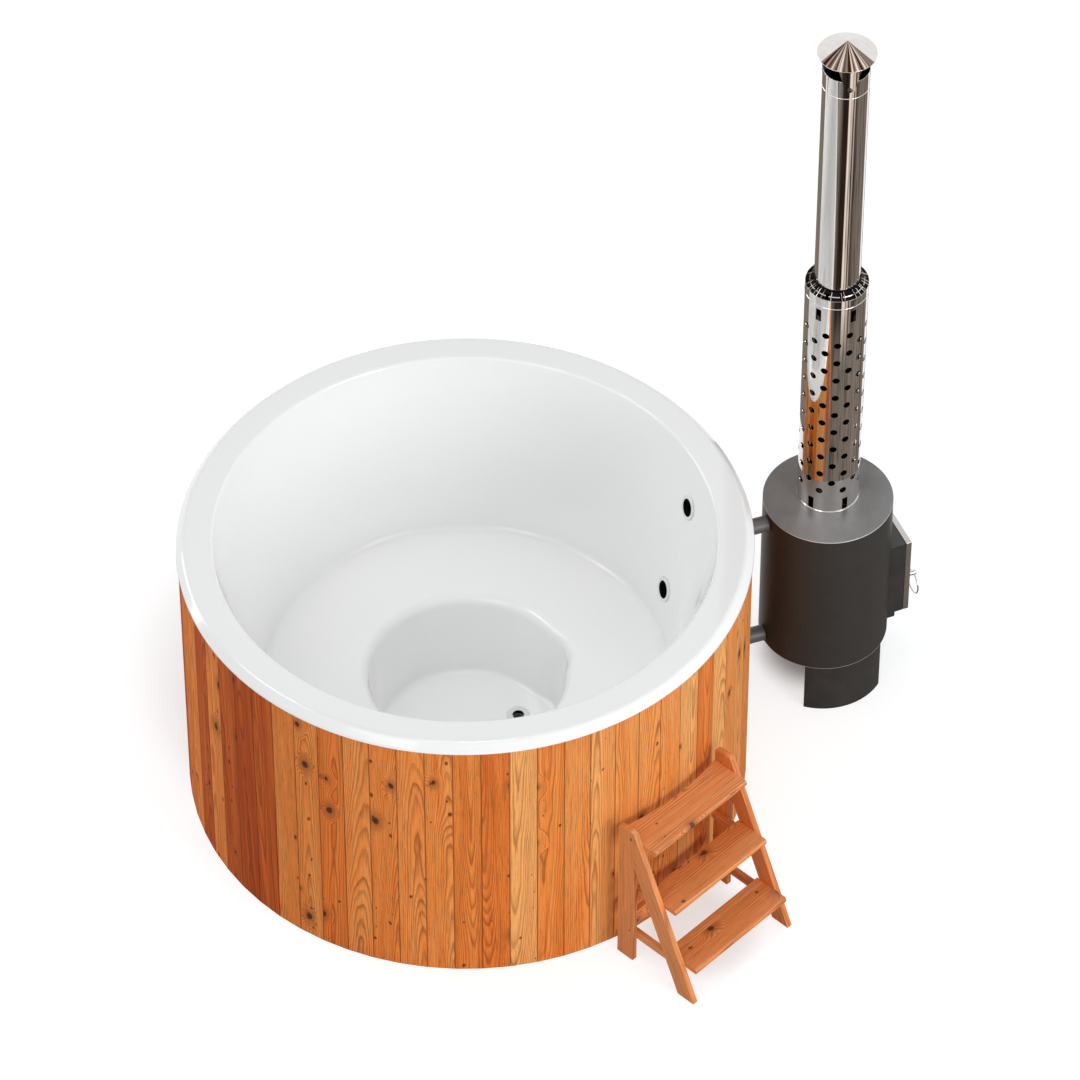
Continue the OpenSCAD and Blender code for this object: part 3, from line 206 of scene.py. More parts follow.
def block(low, high, ease_by=1.5, segments=2):
    """A board between two corners in millimetres, with eased edges."""
    clear()
    size = metres(high[i] - low[i] for i in range(3))
    middle = metres((high[i] + low[i]) / 2 for i in range(3))
    bpy.ops.mesh.primitive_cube_add(size=1, location=middle, scale=size)
    obj = settle(bpy.context.object)
    return ease(obj, ease_by, segments) if ease_by else obj


def rod(radius, length, at=(0, 0, 0), turn=(0, 0, 0), ease_by=0.0, sides=48):
    """A round bar centred at a place, in millimetres and degrees."""
    clear()
    bpy.ops.mesh.primitive_cylinder_add(
        vertices=sides, radius=radius * MM, depth=length * MM, location=metres(at),
        rotation=[radians(v) for v in turn])
    obj = settle(bpy.context.object)
    return ease(obj, ease_by, 3) if ease_by else obj


def sliced(obj, cuts):
    """Cuts an object at planes of (distance along X, normal, whether what lies before it goes)."""
    pick(obj)
    mode("EDIT")
    for x, normal, before in cuts:
        bpy.ops.mesh.select_all(action="SELECT")
        bpy.ops.mesh.bisect(plane_co=(x * MM, 0, 0), plane_no=normal, use_fill=True,
                            clear_inner=before, clear_outer=not before)
    mode("OBJECT")
    return tidy_mesh(obj)


def joined(objects):
    """Joins objects into the first one."""
    clear()
    for obj in objects:
        obj.select_set(True)
    bpy.context.view_layer.objects.active = objects[0]
    if len(objects) > 1:
        bpy.ops.object.join()
    return objects[0]


def copied(obj):
    """A copy of the object with its own mesh."""
    twin = obj.copy()
    twin.data = obj.data.copy()
    bpy.context.scene.collection.objects.link(twin)
    return twin


def cut_away(obj, cutters, operation="DIFFERENCE"):
    """Cuts the joined cutters out of the object."""
    tool = joined(cutters)
    apply(obj, "BOOLEAN", operation=operation, solver="EXACT", object=tool)
    bpy.data.objects.remove(tool)
    return obj


def placed(obj, azimuth, centre=(0, 0)):
    """Turns the object about its own origin and moves that to a centre on the floor."""
    obj.rotation_euler[2] = radians(azimuth)
    obj.location = metres((*centre, 0))
    return settle(obj)


def laid(obj, at):
    """Lays a piece that was turned about Z along +X, its foot at a place in millimetres."""
    obj.rotation_euler = (0, pi / 2, 0)
    obj.location = metres(at)
    return settle(obj)


def at_door(obj):
    return placed(obj, DOOR_AZ, STOVE)


def at_steps(obj):
    return placed(obj, STEPS_AZ, polar(STEPS_OFF, STEPS_AZ + 90))


def store(obj, name, number):
    """Stores one number per point, worked out from its place."""
    layer = obj.data.attributes.new(name, "FLOAT", "POINT")
    for i, vertex in enumerate(obj.data.vertices):
        layer.data[i].value = float(number(vertex.co))


def dress(obj, name, material):
    """Gives an object and its mesh a name and one material."""
    obj.name = name
    obj.data.name = name
    obj.data.materials.clear()
    obj.data.materials.append(material)


def finished(obj, name, material, replaces=(), angle=30, body="tub"):
    """Smooths, names and dresses a finished piece and ties it to the frame."""
    soften(obj, angle)
    dress(obj, name, material)
    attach(obj, body)
    if replaces:
        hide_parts(*replaces)


# --- Paths with rounded corners ---------------------------------------------

def rounded(path, steps):
    """Rounds the corners of a path of (x, y, rounding)."""
    out = []
    for i, (x, y, r) in enumerate(path):
        if i in (0, len(path) - 1) or r == 0:
            out.append((x, y))
            continue
        corner = Vector((x, y))
        to_last = (Vector(path[i - 1][:2]) - corner).normalized()
        to_next = (Vector(path[i + 1][:2]) - corner).normalized()
        half = to_last.angle(to_next) / 2
        centre = corner + (to_last + to_next).normalized() * r / sin(half)
        start = corner + to_last * r / tan(half) - centre
        sweep = pi - 2 * half
        way = 1 if to_last.y * to_next.x > to_last.x * to_next.y else -1
        for k in range(steps + 1):
            t = way * sweep * k / steps
            out.append((centre.x + start.x * cos(t) - start.y * sin(t),
                        centre.y + start.x * sin(t) + start.y * cos(t)))
    return out


def rounded_loop(path, steps):
    """The same for a closed outline."""
    loop = [path[-1], *path, path[0]]
    out = []
    for i in range(1, len(loop) - 1):
        out += rounded(loop[i - 1:i + 2], steps)[1:-1]
    return out


# --- Shader helpers ---------------------------------------------------------

class Nodes:
    """Short calls that build a node tree and feed its shader."""

    def __init__(self, tree, shader):
        self.tree = tree
        self.shader = tree.nodes[shader]

    def plug(self, socket, value):
        """Links a socket, or sets a number, a vector or a colour."""
        if isinstance(value, bpy.types.NodeSocket):
            self.tree.links.new(value, socket)
        else:
            socket.default_value = (*value, 1) if socket.type == "RGBA" else value

    def set(self, socket, value):
        self.plug(self.shader.inputs[socket], value)

    def node(self, kind, inputs=None, output=0, **props):
        made = self.tree.nodes.new("ShaderNode" + kind)
        for key, value in props.items():
            setattr(made, key, value)
        for key, value in (inputs or {}).items():
            self.plug(made.inputs[key], value)
        return made.outputs[output]

    def maths(self, operation, a, b=0.0, c=0.0):
        return self.node("Math", {0: a, 1: b, 2: c}, operation=operation)

    def times(self, a, b):
        return self.maths("MULTIPLY", a, b)

    def line(self, value, slope, start):
        return self.maths("MULTIPLY_ADD", value, slope, start)

    def swing(self, noise, width, start):
        """A noise centred on nought and as wide as asked, added to a start."""
        return self.line(self.maths("SUBTRACT", noise, 0.5), width, start)

    def span(self, value, low, high, start=0.0, end=1.0, curve="LINEAR"):
        """Goes from start to end while the value goes from low to high."""
        return self.node("MapRange", {"Value": value, "From Min": low, "From Max": high,
                                      "To Min": start, "To Max": end}, interpolation_type=curve)

    def parts(self, vector):
        """The three numbers of a vector."""
        return self.node("SeparateXYZ", {0: vector}).node.outputs

    def attribute(self, name, output="Fac"):
        return self.node("Attribute", output=output, attribute_name=name)

    def place(self, scale=(1, 1, 1), source=None):
        """Object coordinates, or another source, stretched by scale."""
        if source is None:
            source = self.node("TexCoord", output="Object")
        return self.node("Mapping", {"Vector": source, "Scale": scale})

    def noise(self, where, scale, detail=4.0, roughness=0.55, distortion=0.0):
        return self.node("TexNoise", {"Vector": where, "Scale": scale, "Detail": detail,
                                      "Roughness": roughness, "Distortion": distortion})

    def ramp(self, factor, stops, smooth=False):
        made = self.node("ValToRGB", {0: factor}).node
        made.color_ramp.interpolation = "EASE" if smooth else "LINEAR"
        elements = made.color_ramp.elements
        while len(elements) < len(stops):
            elements.new(0.5)
        for element, (at, colour) in zip(elements, stops):
            element.position = at
            element.color = (*(colour if isinstance(colour, tuple) else (colour,) * 3), 1)
        return made.outputs[0]

    def mix(self, factor, a, b, blend="MIX"):
        return self.node("Mix", {0: factor, 6: a, 7: b}, 2, data_type="RGBA", blend_type=blend)

    def fade(self, value, low, high, a, b):
        """Goes from colour a to colour b while the value goes from low to high."""
        return self.mix(self.ramp(value, [(low, 0.0), (high, 1.0)]), a, b)

    def bump(self, height, strength, distance):
        self.set("Normal", self.node("Bump", {"Height": height, "Strength": strength,
                                              "Distance": distance}))

    def seen(self):
        """1 for rays from the camera and for those that come by a mirror or through glass."""
        path = self.node("LightPath").node.outputs
        return self.maths("MAXIMUM", self.maths("MAXIMUM", path["Is Camera Ray"],
                                                path["Is Glossy Ray"]), path["Is Transmission Ray"])


class Finish(Nodes):
    """A material and its shader."""

    def __init__(self, name, colour=(0.8, 0.8, 0.8), metallic=0.0, roughness=0.5, **shader):
        self.material = bpy.data.materials.new(name)
        self.material.use_nodes = True
        super().__init__(self.material.node_tree, "Principled BSDF")
        self.set("Base Color", colour)
        self.set("Metallic", metallic)
        self.set("Roughness", roughness)
        for key, value in shader.items():
            self.set(key.replace("_", " ").title().replace("Ior", "IOR"), value)


def shaded(colour, by):
    return tuple(c * by for c in colour)


# --- Finishes ---------------------------------------------------------------

def wood_finish(name, pale, mid, deep, line, rings, coat=0.0, roughness=0.46, shine=0.25):
    """Sawn softwood: rings about each board's own heart, fibres, knots and board tones."""
    f = Finish(name, roughness=roughness, coat_weight=coat, coat_roughness=0.22,
               specular_ior_level=shine)
    heart = f.place(source=f.attribute("heart", "Vector"))
    lie = f.place(source=f.attribute("lie", "Vector"))
    tone, warm, knotty = f.parts(f.attribute("tone", "Vector"))
    edge = f.maths("ABSOLUTE", f.attribute("across"))
    wander = f.node("TexNoise", {"Vector": lie, "Scale": 38.0, "Detail": 2.0}, "Color")
    bent = f.node("VectorMath", {0: wander, 1: (0.012, 0.016, 0), 2: lie},
                  operation="MULTIPLY_ADD")

    def along(stretch, detail, rough=0.55):
        """Noise in the log's own coordinates, drawn out along the grain."""
        return f.noise(f.place(stretch, heart), 1.0, detail, rough)

    def knots(scale, odds, small, spread, waist):
        """How far the nearest knot is, 1 at its rim, whether it is there, and its dark core."""
        cells = f.node("TexVoronoi", {"Vector": f.place((1, 0.62, 1), bent), "Scale": scale,
                                      "Randomness": 0.75}, "Distance", voronoi_dimensions="2D")
        picked = cells.node.outputs
        red, green, _ = f.node("SeparateColor", {0: picked["Color"]}).node.outputs
        patch = f.span(f.noise(picked["Position"], 3.1, 1.0), 0.36, 0.62, 0.45, 1.2)
        there = f.maths("GREATER_THAN", f.times(f.times(red, patch), knotty), odds)
        reach = f.maths("DIVIDE", cells, f.line(green, spread, small))
        core = f.ramp(reach, [(0.0, 1.0), waist, (1.0, 0.0)], True)
        return cells, reach, there, f.times(there, core)

    # Large knots bend the rings round them, and pin knots only mark the face
    apart, reach, there, core = knots(6.5, 0.41, 0.022, 0.07, (0.55, 0.95))
    halo = f.times(there, f.span(reach, 0.7, 3.2, 1.0, 0.0, "SMOOTHSTEP"))
    pull = f.times(there, f.span(apart, 0.0, 0.30, 1.0, 0.0, "SMOOTHERSTEP"))
    pin = knots(19.0, 0.62, 0.04, 0.12, (0.5, 0.9))[3]
    # Growth rings round the heart of the log, each with its own width and strength
    x, y, _ = f.parts(heart)
    radius = f.maths("SQRT", f.maths("ADD", f.times(x, x), f.times(y, y)))
    radius = f.swing(along((3, 3, 1.3), 2), 0.028, radius)
    radius = f.swing(along((24, 24, 6), 2), 0.005, radius)
    radius = f.line(pull, 0.022, radius)
    uneven = f.node("TexNoise", {"W": radius, "Scale": 22.0, "Detail": 1.0}, noise_dimensions="1D")
    count = f.line(radius, rings, f.times(uneven, 3.5))
    late = f.ramp(f.maths("FRACT", count), [(0.0, 0.9), (0.08, 0.2), (0.36, 0.0), (0.66, 0.35),
                                            (0.88, 1.0), (1.0, 0.9)])
    weight = f.node("TexWhiteNoise", {"W": f.maths("FLOOR", count)}, noise_dimensions="1D")
    late = f.times(late, f.line(weight, 0.5, 0.5))
    bands = along((46, 46, 0.7), 3, 0.6)
    fibre = along((330, 330, 3.2), 3, 0.7)
    pores = along((900, 900, 26), 2)
    # Colours
    ground = f.ramp(f.swing(bands, 0.8, tone), [(0.0, deep), (0.5, mid), (1.0, pale)])
    ground = f.mix(f.times(warm, 0.8), ground, (0.96, 0.76, 0.55), "MULTIPLY")
    fine = f.ramp(fibre, [(0.33, 0.62), (0.48, 0.96), (0.62, 1.0), (0.76, 1.15)])
    grain = f.mix(1.0, ground, fine, "MULTIPLY")
    lined = f.mix(f.times(late, 0.68), grain, line)
    ringed = f.mix(f.times(halo, 0.62), lined, (0.30, 0.085, 0.022))
    speck = f.ramp(pores, [(0.27, 1.0), (0.36, 0.0)])
    flecked = f.mix(f.times(speck, 0.5), ringed, line)
    knot = f.maths("MAXIMUM", f.times(core, 0.93), f.times(pin, 0.85))
    marked = f.mix(knot, flecked, (0.045, 0.016, 0.008))
    joint = f.ramp(edge, [(0.94, 0.0), (0.98, 1.0)])
    f.set("Base Color", f.mix(f.times(joint, 0.5), marked, (0.12, 0.035, 0.012)))
    f.set("Roughness", f.span(late, 0.0, 1.0, roughness, roughness + 0.16))
    relief = f.line(late, -0.45, f.times(fibre, 0.6))
    f.bump(f.line(core, -0.5, relief), 0.35, 0.0006)
    return f.material


def steel_finish(name, colour, roughness, brushed=0.0, stretch=(60, 60, 0.7), shade_below=None):
    """Polished or brushed sheet steel with long draw lines and faint handling marks."""
    f = Finish(name, colour=colour, metallic=1.0, roughness=roughness)
    lines = f.noise(f.place(stretch), 6.0, 3, 0.6)
    smudge = f.noise(f.place(), 9.0, 4, 0.6)
    face = f.fade(lines, 0.35, 0.65, shaded(colour, 0.9125), colour)
    # Painted shade: below a given height the steel is painted near black; on the flue that is the
    # part inside the guard
    if shade_below:
        guard_shade = f.span(f.parts(f.place())[2], shade_below, shade_below - 0.004)
        face = f.mix(guard_shade, face, (0.035, 0.028, 0.024))
    f.set("Base Color", face)
    f.set("Roughness", f.line(lines, brushed, f.line(smudge, roughness * 0.8, roughness * 0.55)))
    f.bump(f.line(lines, 0.5, smudge), 0.02 + 0.5 * brushed, 0.0004)
    return f.material


def spacer_finish(name):
    """Near-black steel whose ridge and bent tabs are painted bright metal, as highlights."""
    f = Finish(name, roughness=0.22, specular_ior_level=0.08)
    bright = f.attribute("bright")
    f.set("Base Color", f.mix(bright, (0.005, 0.004, 0.004), (0.86, 0.82, 0.79)))
    f.set("Metallic", bright)
    f.bump(f.noise(f.place(), 300.0, 2), 0.15, 0.0005)
    return f.material


def enamel_finish(name, colour, roughness, mottled=0.12, grit=900.0, bump=0.12, metallic=0.0,
                  edge_highlight=None, pale_tops=0.0):
    """Heat-proof paint: fine grit, a faint mottle, a paler grey on up-facing faces, and a painted
    highlight band at one height.
    """
    f = Finish(name, colour=colour, metallic=metallic, roughness=roughness,
               specular_ior_level=0.22)
    coat = f.fade(f.noise(f.place(), 14.0, 4, 0.6), 0.35, 0.65,
                  shaded(colour, 1 - mottled), shaded(colour, 1 + mottled))
    # Up-facing faces blend towards a paler grey
    upward = f.parts(f.node("TexCoord", output="Normal"))[2]
    paler_top = f.times(f.ramp(upward, [(0.6, 0.0), (0.95, 1.0)]), pale_tops)
    coat = f.mix(paler_top, coat, (0.30, 0.295, 0.29))
    # Painted highlight: a thin band at a set height is painted a pale metal colour all round, for
    # the light line along an edge
    if edge_highlight:
        low, high, highlight_colour = edge_highlight
        highlight_band = f.maths("COMPARE", f.parts(f.place())[2], (low + high) / 2, (high - low) / 2)
        coat = f.mix(highlight_band, coat, highlight_colour)
    f.set("Base Color", coat)
    f.set("Roughness", f.line(f.noise(f.place((1, 1, 0.3)), 3.0, 2), 0.08, roughness - 0.04))
    f.bump(f.noise(f.place(), grit, 2, 0.5), bump, 0.0005)
    return f.material


def moulded_finish(name, colour, roughness, coat=0.0, ripple=0.0, clouds=0.02, bore=False,
                   hole=None):
    """Moulded plastic or rubber: soft clouds of tone, a faint ripple, and painted shade, near
    black, in a bore or a hole.
    """
    f = Finish(name, colour=colour, roughness=roughness, coat_weight=coat, coat_roughness=0.06)
    skin = f.noise(f.place(), 260.0, 2)
    tint = f.fade(f.noise(f.place(), 4.0, 3), 0.3, 0.7, shaded(colour, 1 - clouds), colour)
    dark = (0.006, 0.006, 0.006)
    # Painted shade: the marked points of a bore, or a disc where a hole is, are painted near black
    if bore:
        tint = f.mix(f.attribute("bore"), tint, dark)
    if hole:
        x, y, radius = metres(hole)
        off = f.node("VectorMath", {0: f.place(), 1: (x, y, 0)}, operation="SUBTRACT")
        off = f.node("VectorMath", {0: off, 1: (1, 1, 0)}, operation="MULTIPLY")
        away = f.node("VectorMath", {0: off}, "Value", operation="LENGTH")
        tint = f.mix(f.maths("LESS_THAN", away, radius), tint, dark)
    f.set("Base Color", tint)
    f.set("Roughness", f.line(skin, 0.08, roughness - 0.04))
    f.bump(f.line(skin, 0.02, f.noise(f.place(), 5.0, 2)), ripple, 0.002)
    return f.material


def raw_timber_finish(name, colour, line, along):
    """Planed frame timber or plywood in Object coordinates, its grain along one axis."""
    scale = [4 if axis == along else 90 for axis in range(3)]
    f = Finish(name, colour=colour, roughness=0.7)
    grain = f.noise(f.place(scale), 1.0, 4, 0.6, 0.6)
    fibre = f.noise(f.place(shaded(scale, 6)), 1.0, 2)
    base = f.fade(grain, 0.38, 0.62, colour, line)
    f.set("Base Color", f.mix(f.times(fibre, 0.25), base, line))
    f.bump(fibre, 0.25, 0.0006)
    return f.material


BOARD_WOOD = wood_finish("board_wood", (1.0, 0.47, 0.15), (0.92, 0.270, 0.048),
                         (0.52, 0.088, 0.008), (0.20, 0.036, 0.006), 245.0, shine=0.14)
STEP_WOOD = wood_finish("step_wood", (1.0, 0.50, 0.18), (0.95, 0.35, 0.108), (0.66, 0.205, 0.06),
                        (0.20, 0.045, 0.012), 190.0, coat=0.55, roughness=0.40, shine=0.4)
ACRYLIC = moulded_finish("white_acrylic", (0.96, 0.965, 0.963), 0.12, 0.5, 0.02, 0.006)
FITTING_PLASTIC = moulded_finish("fitting_plastic", (0.82, 0.83, 0.83), 0.22, ripple=0.03,
                                 bore=True)
DRAIN_PLASTIC = moulded_finish("drain_plastic", (0.80, 0.81, 0.81), 0.2, ripple=0.03,
                               hole=(*DRAIN, 19.5))
HOSE_RUBBER = moulded_finish("hose_rubber", (0.125, 0.125, 0.13), 0.42, 0.0, 0.05, 0.15)
SEAL_RUBBER = moulded_finish("seal_rubber", (0.03, 0.03, 0.032), 0.6, 0.0, 0.05, 0.2)
STOVE_PAINT = enamel_finish("stove_paint", (0.040, 0.038, 0.036), 0.48, pale_tops=0.25)
# The shell's band at the leg seam and the lid's band at its top edge are painted highlights
SHELL_PAINT = enamel_finish("stove_shell_paint", (0.039, 0.037, 0.035), 0.46, 0.04,
                            edge_highlight=(0.1965, 0.1988, (0.45, 0.44, 0.43)))
LID_PAINT = enamel_finish("lid_paint", (0.285, 0.285, 0.288), 0.34, 0.06, metallic=0.4,
                          edge_highlight=(0.797, 0.8013, (0.85, 0.85, 0.85)))
IRON = enamel_finish("grate_iron", (0.035, 0.033, 0.032), 0.75, 0.3, 300.0, 0.5)
POLISHED = steel_finish("polished_steel", (0.80, 0.77, 0.745), 0.045)
# The flue is painted near black inside the guard, as shade
FLUE_STEEL = steel_finish("flue_steel", (0.80, 0.77, 0.745), 0.045, shade_below=1.775)
CAP_STEEL = steel_finish("cap_steel", (0.80, 0.77, 0.75), 0.02, stretch=(8, 8, 8))
DOOR_STEEL = steel_finish("door_steel", (0.62, 0.585, 0.56), 0.22, 0.12, (3, 3, 90))
ZINC = steel_finish("zinc_plate", (0.62, 0.63, 0.65), 0.35, 0.1, (30, 30, 30))
BRASS = steel_finish("cast_brass", (0.78, 0.57, 0.25), 0.3, 0.08, (20, 20, 20))
SPACER_STEEL = spacer_finish("spacer_black")
BOLT_STEEL = steel_finish("bolt_steel", (0.07, 0.06, 0.055), 0.14)
RED_PAINT = enamel_finish("lever_red", (0.50, 0.035, 0.02), 0.3)
INSULATION = moulded_finish("insulation_board", (0.70, 0.66, 0.58), 0.9, 0.0, 0.5, 0.12)
PINE = raw_timber_finish("frame_pine", (0.66, 0.45, 0.23), (0.46, 0.27, 0.11), 2)
PINE_LEVEL = raw_timber_finish("bearer_pine", (0.66, 0.45, 0.23), (0.46, 0.27, 0.11), 1)
PLYWOOD = raw_timber_finish("deck_plywood", (0.60, 0.42, 0.24), (0.44, 0.28, 0.14), 0)


# --- Liner ------------------------------------------------------------------

WALL_TILT = atan((MOUTH_R - WALL_FOOT_R) / (RIM_TOP - BENCH_Z))


def wall_r(z):
    return WALL_FOOT_R + (z - BENCH_Z) * tan(WALL_TILT)


def on_wall(obj, azimuth, z):
    """Moves an object made round the Z axis onto the sloping wall, +Z into the tub."""
    out = Matrix.Rotation(radians(azimuth), 4, "Z") @ Matrix.Translation(metres((wall_r(z), 0, z)))
    obj.matrix_world = out @ Matrix.Rotation(WALL_TILT - pi / 2, 4, "Y")
    return settle(obj)


def push_bulge(obj):
    """Pushes the moulding outwards where the footwell's wall bulges."""
    spread = 1.2  # radians to each side of the bulge's middle
    outer, inner = WELL_TOP_R + 60, WELL_FLOOR_R - 40
    for vertex in obj.data.vertices:
        x, y, z = (c / MM for c in vertex.co)
        r = hypot(x, y)
        turn = atan2(y, x) - radians(BULGE_AZ)
        if z > BENCH_Z + 1 or not inner <= r <= outer or abs(turn) > spread:
            continue
        share = min(1, max(0, (z - WELL_Z) / (BENCH_Z - WELL_Z)))
        wall = WELL_FLOOR_R + (WELL_TOP_R - WELL_FLOOR_R) * share
        middle = wall + BULGE_FLOOR + (BULGE_TOP - BULGE_FLOOR) * share - BULGE_R
        inside = BULGE_R ** 2 - (middle * sin(turn)) ** 2
        push = middle * cos(turn) + sqrt(max(0, inside)) - wall
        push = (push + hypot(push, 9)) / 2 * min(1, (spread - abs(turn)) * 4)
        fade = min(1, (outer - r) / 20, (r - inner) / 12)
        vertex.co.x *= (r + push * fade) / r
        vertex.co.y *= (r + push * fade) / r
    obj.data.update()


def make_liner():
    path = [(RIM_R, RIM_TOP - LIP_H, 0), (RIM_R, RIM_TOP - RIM_DROP, 12),
            (RIM_R - RIM_ROLL, RIM_TOP, 22), (MOUTH_R, RIM_TOP, 12), (WALL_FOOT_R, BENCH_Z, 26),
            (WELL_TOP_R, BENCH_Z, 34), (WELL_FLOOR_R, WELL_Z, 22), (60, WELL_Z, 0), (0, WELL_Z, 0)]
    longest = 45
    line = rounded(path, 9)
    fine = [line[0]]
    for a, b in zip(line, line[1:]):
        parts = max(1, round(dist(a, b) / longest))
        fine += [(a[0] + (b[0] - a[0]) * k / parts, a[1] + (b[1] - a[1]) * k / parts)
                 for k in range(1, parts + 1)]
    obj = spun(fine, steps=480)
    push_bulge(obj)
    apply(obj, "SOLIDIFY", thickness=SHELL * MM, offset=-1, use_even_offset=True)
    seats = [on_wall(rod(FITTING_SEAT_R, 60, sides=64), *spot) for spot in FITTINGS]
    cut_away(obj, seats + [rod(DRAIN_SEAT_R, 60, (*DRAIN, WELL_Z))])
    finished(obj, "liner_shell", ACRYLIC, ["liner"], 32)


def make_wall_fittings():
    section = [(30, 6.6, 1.6), (43, 6.6, 3.2), (43, 0.4, 0.6), (34, 0.4, 0), (34, -60, 0),
               (30, -60, 0)]
    rings = []
    for spot in FITTINGS:
        ring = hooped(section, 5, steps=96)
        # Painted shade: the points inside the bore are marked, so that the finish paints them near
        # black
        store(ring, "bore", lambda co: hypot(co.x, co.y) < 0.0312 and co.z < 0.0060)
        rings.append(on_wall(ring, *spot))
    finished(joined(rings), "wall_fitting_rings", FITTING_PLASTIC,
             ["wall_fittings"], 40)


make_liner()
make_wall_fittings()


# --- Cladding ---------------------------------------------------------------

TONES = [0.25, 0.35, 0.42, 0.48, 0.52, 0.58, 0.65, 0.75, 0.9]


def mark_wood(obj, along, across, through, rng, tone=None, warm=None, knotty=None, tilt=0.02):
    """Stores, per point, where it lies in its log, its place on the face and the board's tone."""
    near = (rng.uniform(-0.05, 0.05), rng.uniform(0.012, 0.085))
    lean = (rng.uniform(-tilt, tilt), rng.uniform(-tilt, tilt))
    shift = rng.uniform(0, 40)
    tones = (rng.uniform(0.25, 0.75) if tone is None else tone,
             rng.random() if warm is None else warm,
             rng.uniform(0.6, 1.0) if knotty is None else knotty)
    mesh = obj.data
    for name in ("heart", "lie", "tone"):
        mesh.attributes.new(name, "FLOAT_VECTOR", "POINT")
    layers = [mesh.attributes[name].data for name in ("heart", "lie", "tone")]
    for i, vertex in enumerate(mesh.vertices):
        z, x, y = (vertex.co.dot(axis) for axis in (along, across, through))
        heart = (x + near[0] + lean[0] * z, y + near[1] + lean[1] * z, z + shift)
        for layer, vector in zip(layers, (heart, (x + shift * 0.7, z + shift, 0), tones)):
            layer[i].vector = vector
    return obj


def make_boards():
    pitch = 360 / BOARDS
    half_turn = radians(pitch / 2)
    face = CLAD_R * cos(half_turn)
    inner_face = face - BOARD_T
    half = face * tan(half_turn) - BOARD_GAP / 2
    inner_half = inner_face * tan(half_turn) - BOARD_GAP / 2
    side = [(inner_face, inner_half), (face - BOARD_BEVEL, half), (face, half - BOARD_BEVEL)]
    outline = [(x, -y) for x, y in side] + side[::-1]
    top = RIM_TOP - LIP_H - 0.5
    pattern = drawn_out([(x * MM, y * MM, 0) for x, y in outline], (0, 0, top * MM))
    ease(pattern, 0.5, 2, 30)
    rng = random.Random(11)
    groups, front, light_spread = 5, 265, 38  # the front's azimuth, and the tone's shift to each side
    per_group = BOARDS // groups
    for group in range(groups):
        made = []
        for number in range(group * per_group, (group + 1) * per_group):
            turn = BOARD_AZ + (number + 0.5) * pitch
            # Painted light: boards to the right of the front are painted paler, and those to its
            # left darker and warmer, as if lit from the right; besides that each board's tone and
            # warmth are random
            right = max(-1, min(1, ((turn - front + 180) % 360 - 180) / light_spread))
            board = mark_wood(copied(pattern), Z, Y, -X, rng, tone=rng.choice(TONES) + 0.22 * right,
                              warm=max(0, 0.9 * rng.random() - 0.1 - 0.6 * right),
                              knotty=rng.uniform(0.6, 1.0), tilt=0.04)
            for point in board.data.attributes["heart"].data:
                point.vector.y += face * MM
            store(board, "across", lambda co: co.y / (half * MM))
            made.append(placed(board, turn))
        boards = joined(made)
        if group < 2:
            holes = [rod(HOSE_HOLE_R, 120, (*polar(CLAD_R, STOVE_AZ), z), (0, 90, STOVE_AZ))
                     for z in (HOT_OUT_Z, COLD_OUT_Z)]
            holes.append(rod(DRAIN_HOLE_R, 120, (DRAIN[0], 915, DRAIN_Z), (90, 0, 0)))
            cut_away(boards, holes)
        finished(boards, f"cladding_group_{group + 1}", BOARD_WOOD,
                 [f"cladding_boards_{group + 1}"])
    bpy.data.objects.remove(pattern)


make_boards()


# --- Stove ------------------------------------------------------------------

def make_shell():
    inner, top = STOVE_R - STOVE_WALL, STOVE_TOP - LID_T - 0.3
    shell = hooped([(STOVE_R, STOVE_FOOT, 0.8), (STOVE_R, top, 0.6), (inner, top, 0),
                    (inner, STOVE_FOOT, 0)], 3, STOVE, 192)
    door_gap = block((0, -DOOR_W / 2, DOOR_Z), (400, DOOR_W / 2, DOOR_Z + DOOR_H), 0)
    ash_gap = block((0, -ASH_HALF, ASH_LOW), (400, ASH_HALF, DOOR_Z - 0.4), 0)
    pipe_gaps = [placed(rod(24, 200, (-STOVE_R, 0, z), (0, 90, 0)), STOVE_AZ, STOVE)
                 for z in (HOT_OUT_Z, COLD_OUT_Z)]
    cut_away(shell, [at_door(door_gap), at_door(ash_gap)] + pipe_gaps)
    finished(shell, "stove_shell", SHELL_PAINT, ["stove_jacket"])


def make_lid():
    low, inner = STOVE_TOP - LID_T, FLUE_R + 0.3
    lid = turned([(inner, low, 0), (STOVE_R, low, 0.5), (STOVE_R, STOVE_TOP, 1.4),
                  (inner, STOVE_TOP, 0)], 5, STOVE, 192)
    # The flue's hole sits off the lid's centre, so the inner edge is moved to it
    centre = metres(STOVE)
    for vertex in lid.data.vertices:
        if dist(vertex.co[:2], centre) < 0.1:
            vertex.co.y += FLUE_BACK * MM
    finished(tidy_mesh(lid), "stove_lid_plate", LID_PAINT, ["stove_lid"])


def make_legs():
    inner, top, half_width = STOVE_R - STOVE_WALL, STOVE_FOOT - 0.6, 40
    legs = []
    for side in (90, -90):
        leg = hooped([(STOVE_R, 0.0, 0.6), (STOVE_R, top, 0.6), (inner, top, 0.6),
                      (inner, 0.0, 0.6)], 3, steps=360)
        cuts = [(0, (*polar(1, side + turn + 90), 0), turn < 0)
                for turn in (-half_width, half_width)]
        legs.append(at_door(sliced(leg, cuts)))
    finished(joined(legs), "stove_leg_plates", STOVE_PAINT, ["stove_legs"])


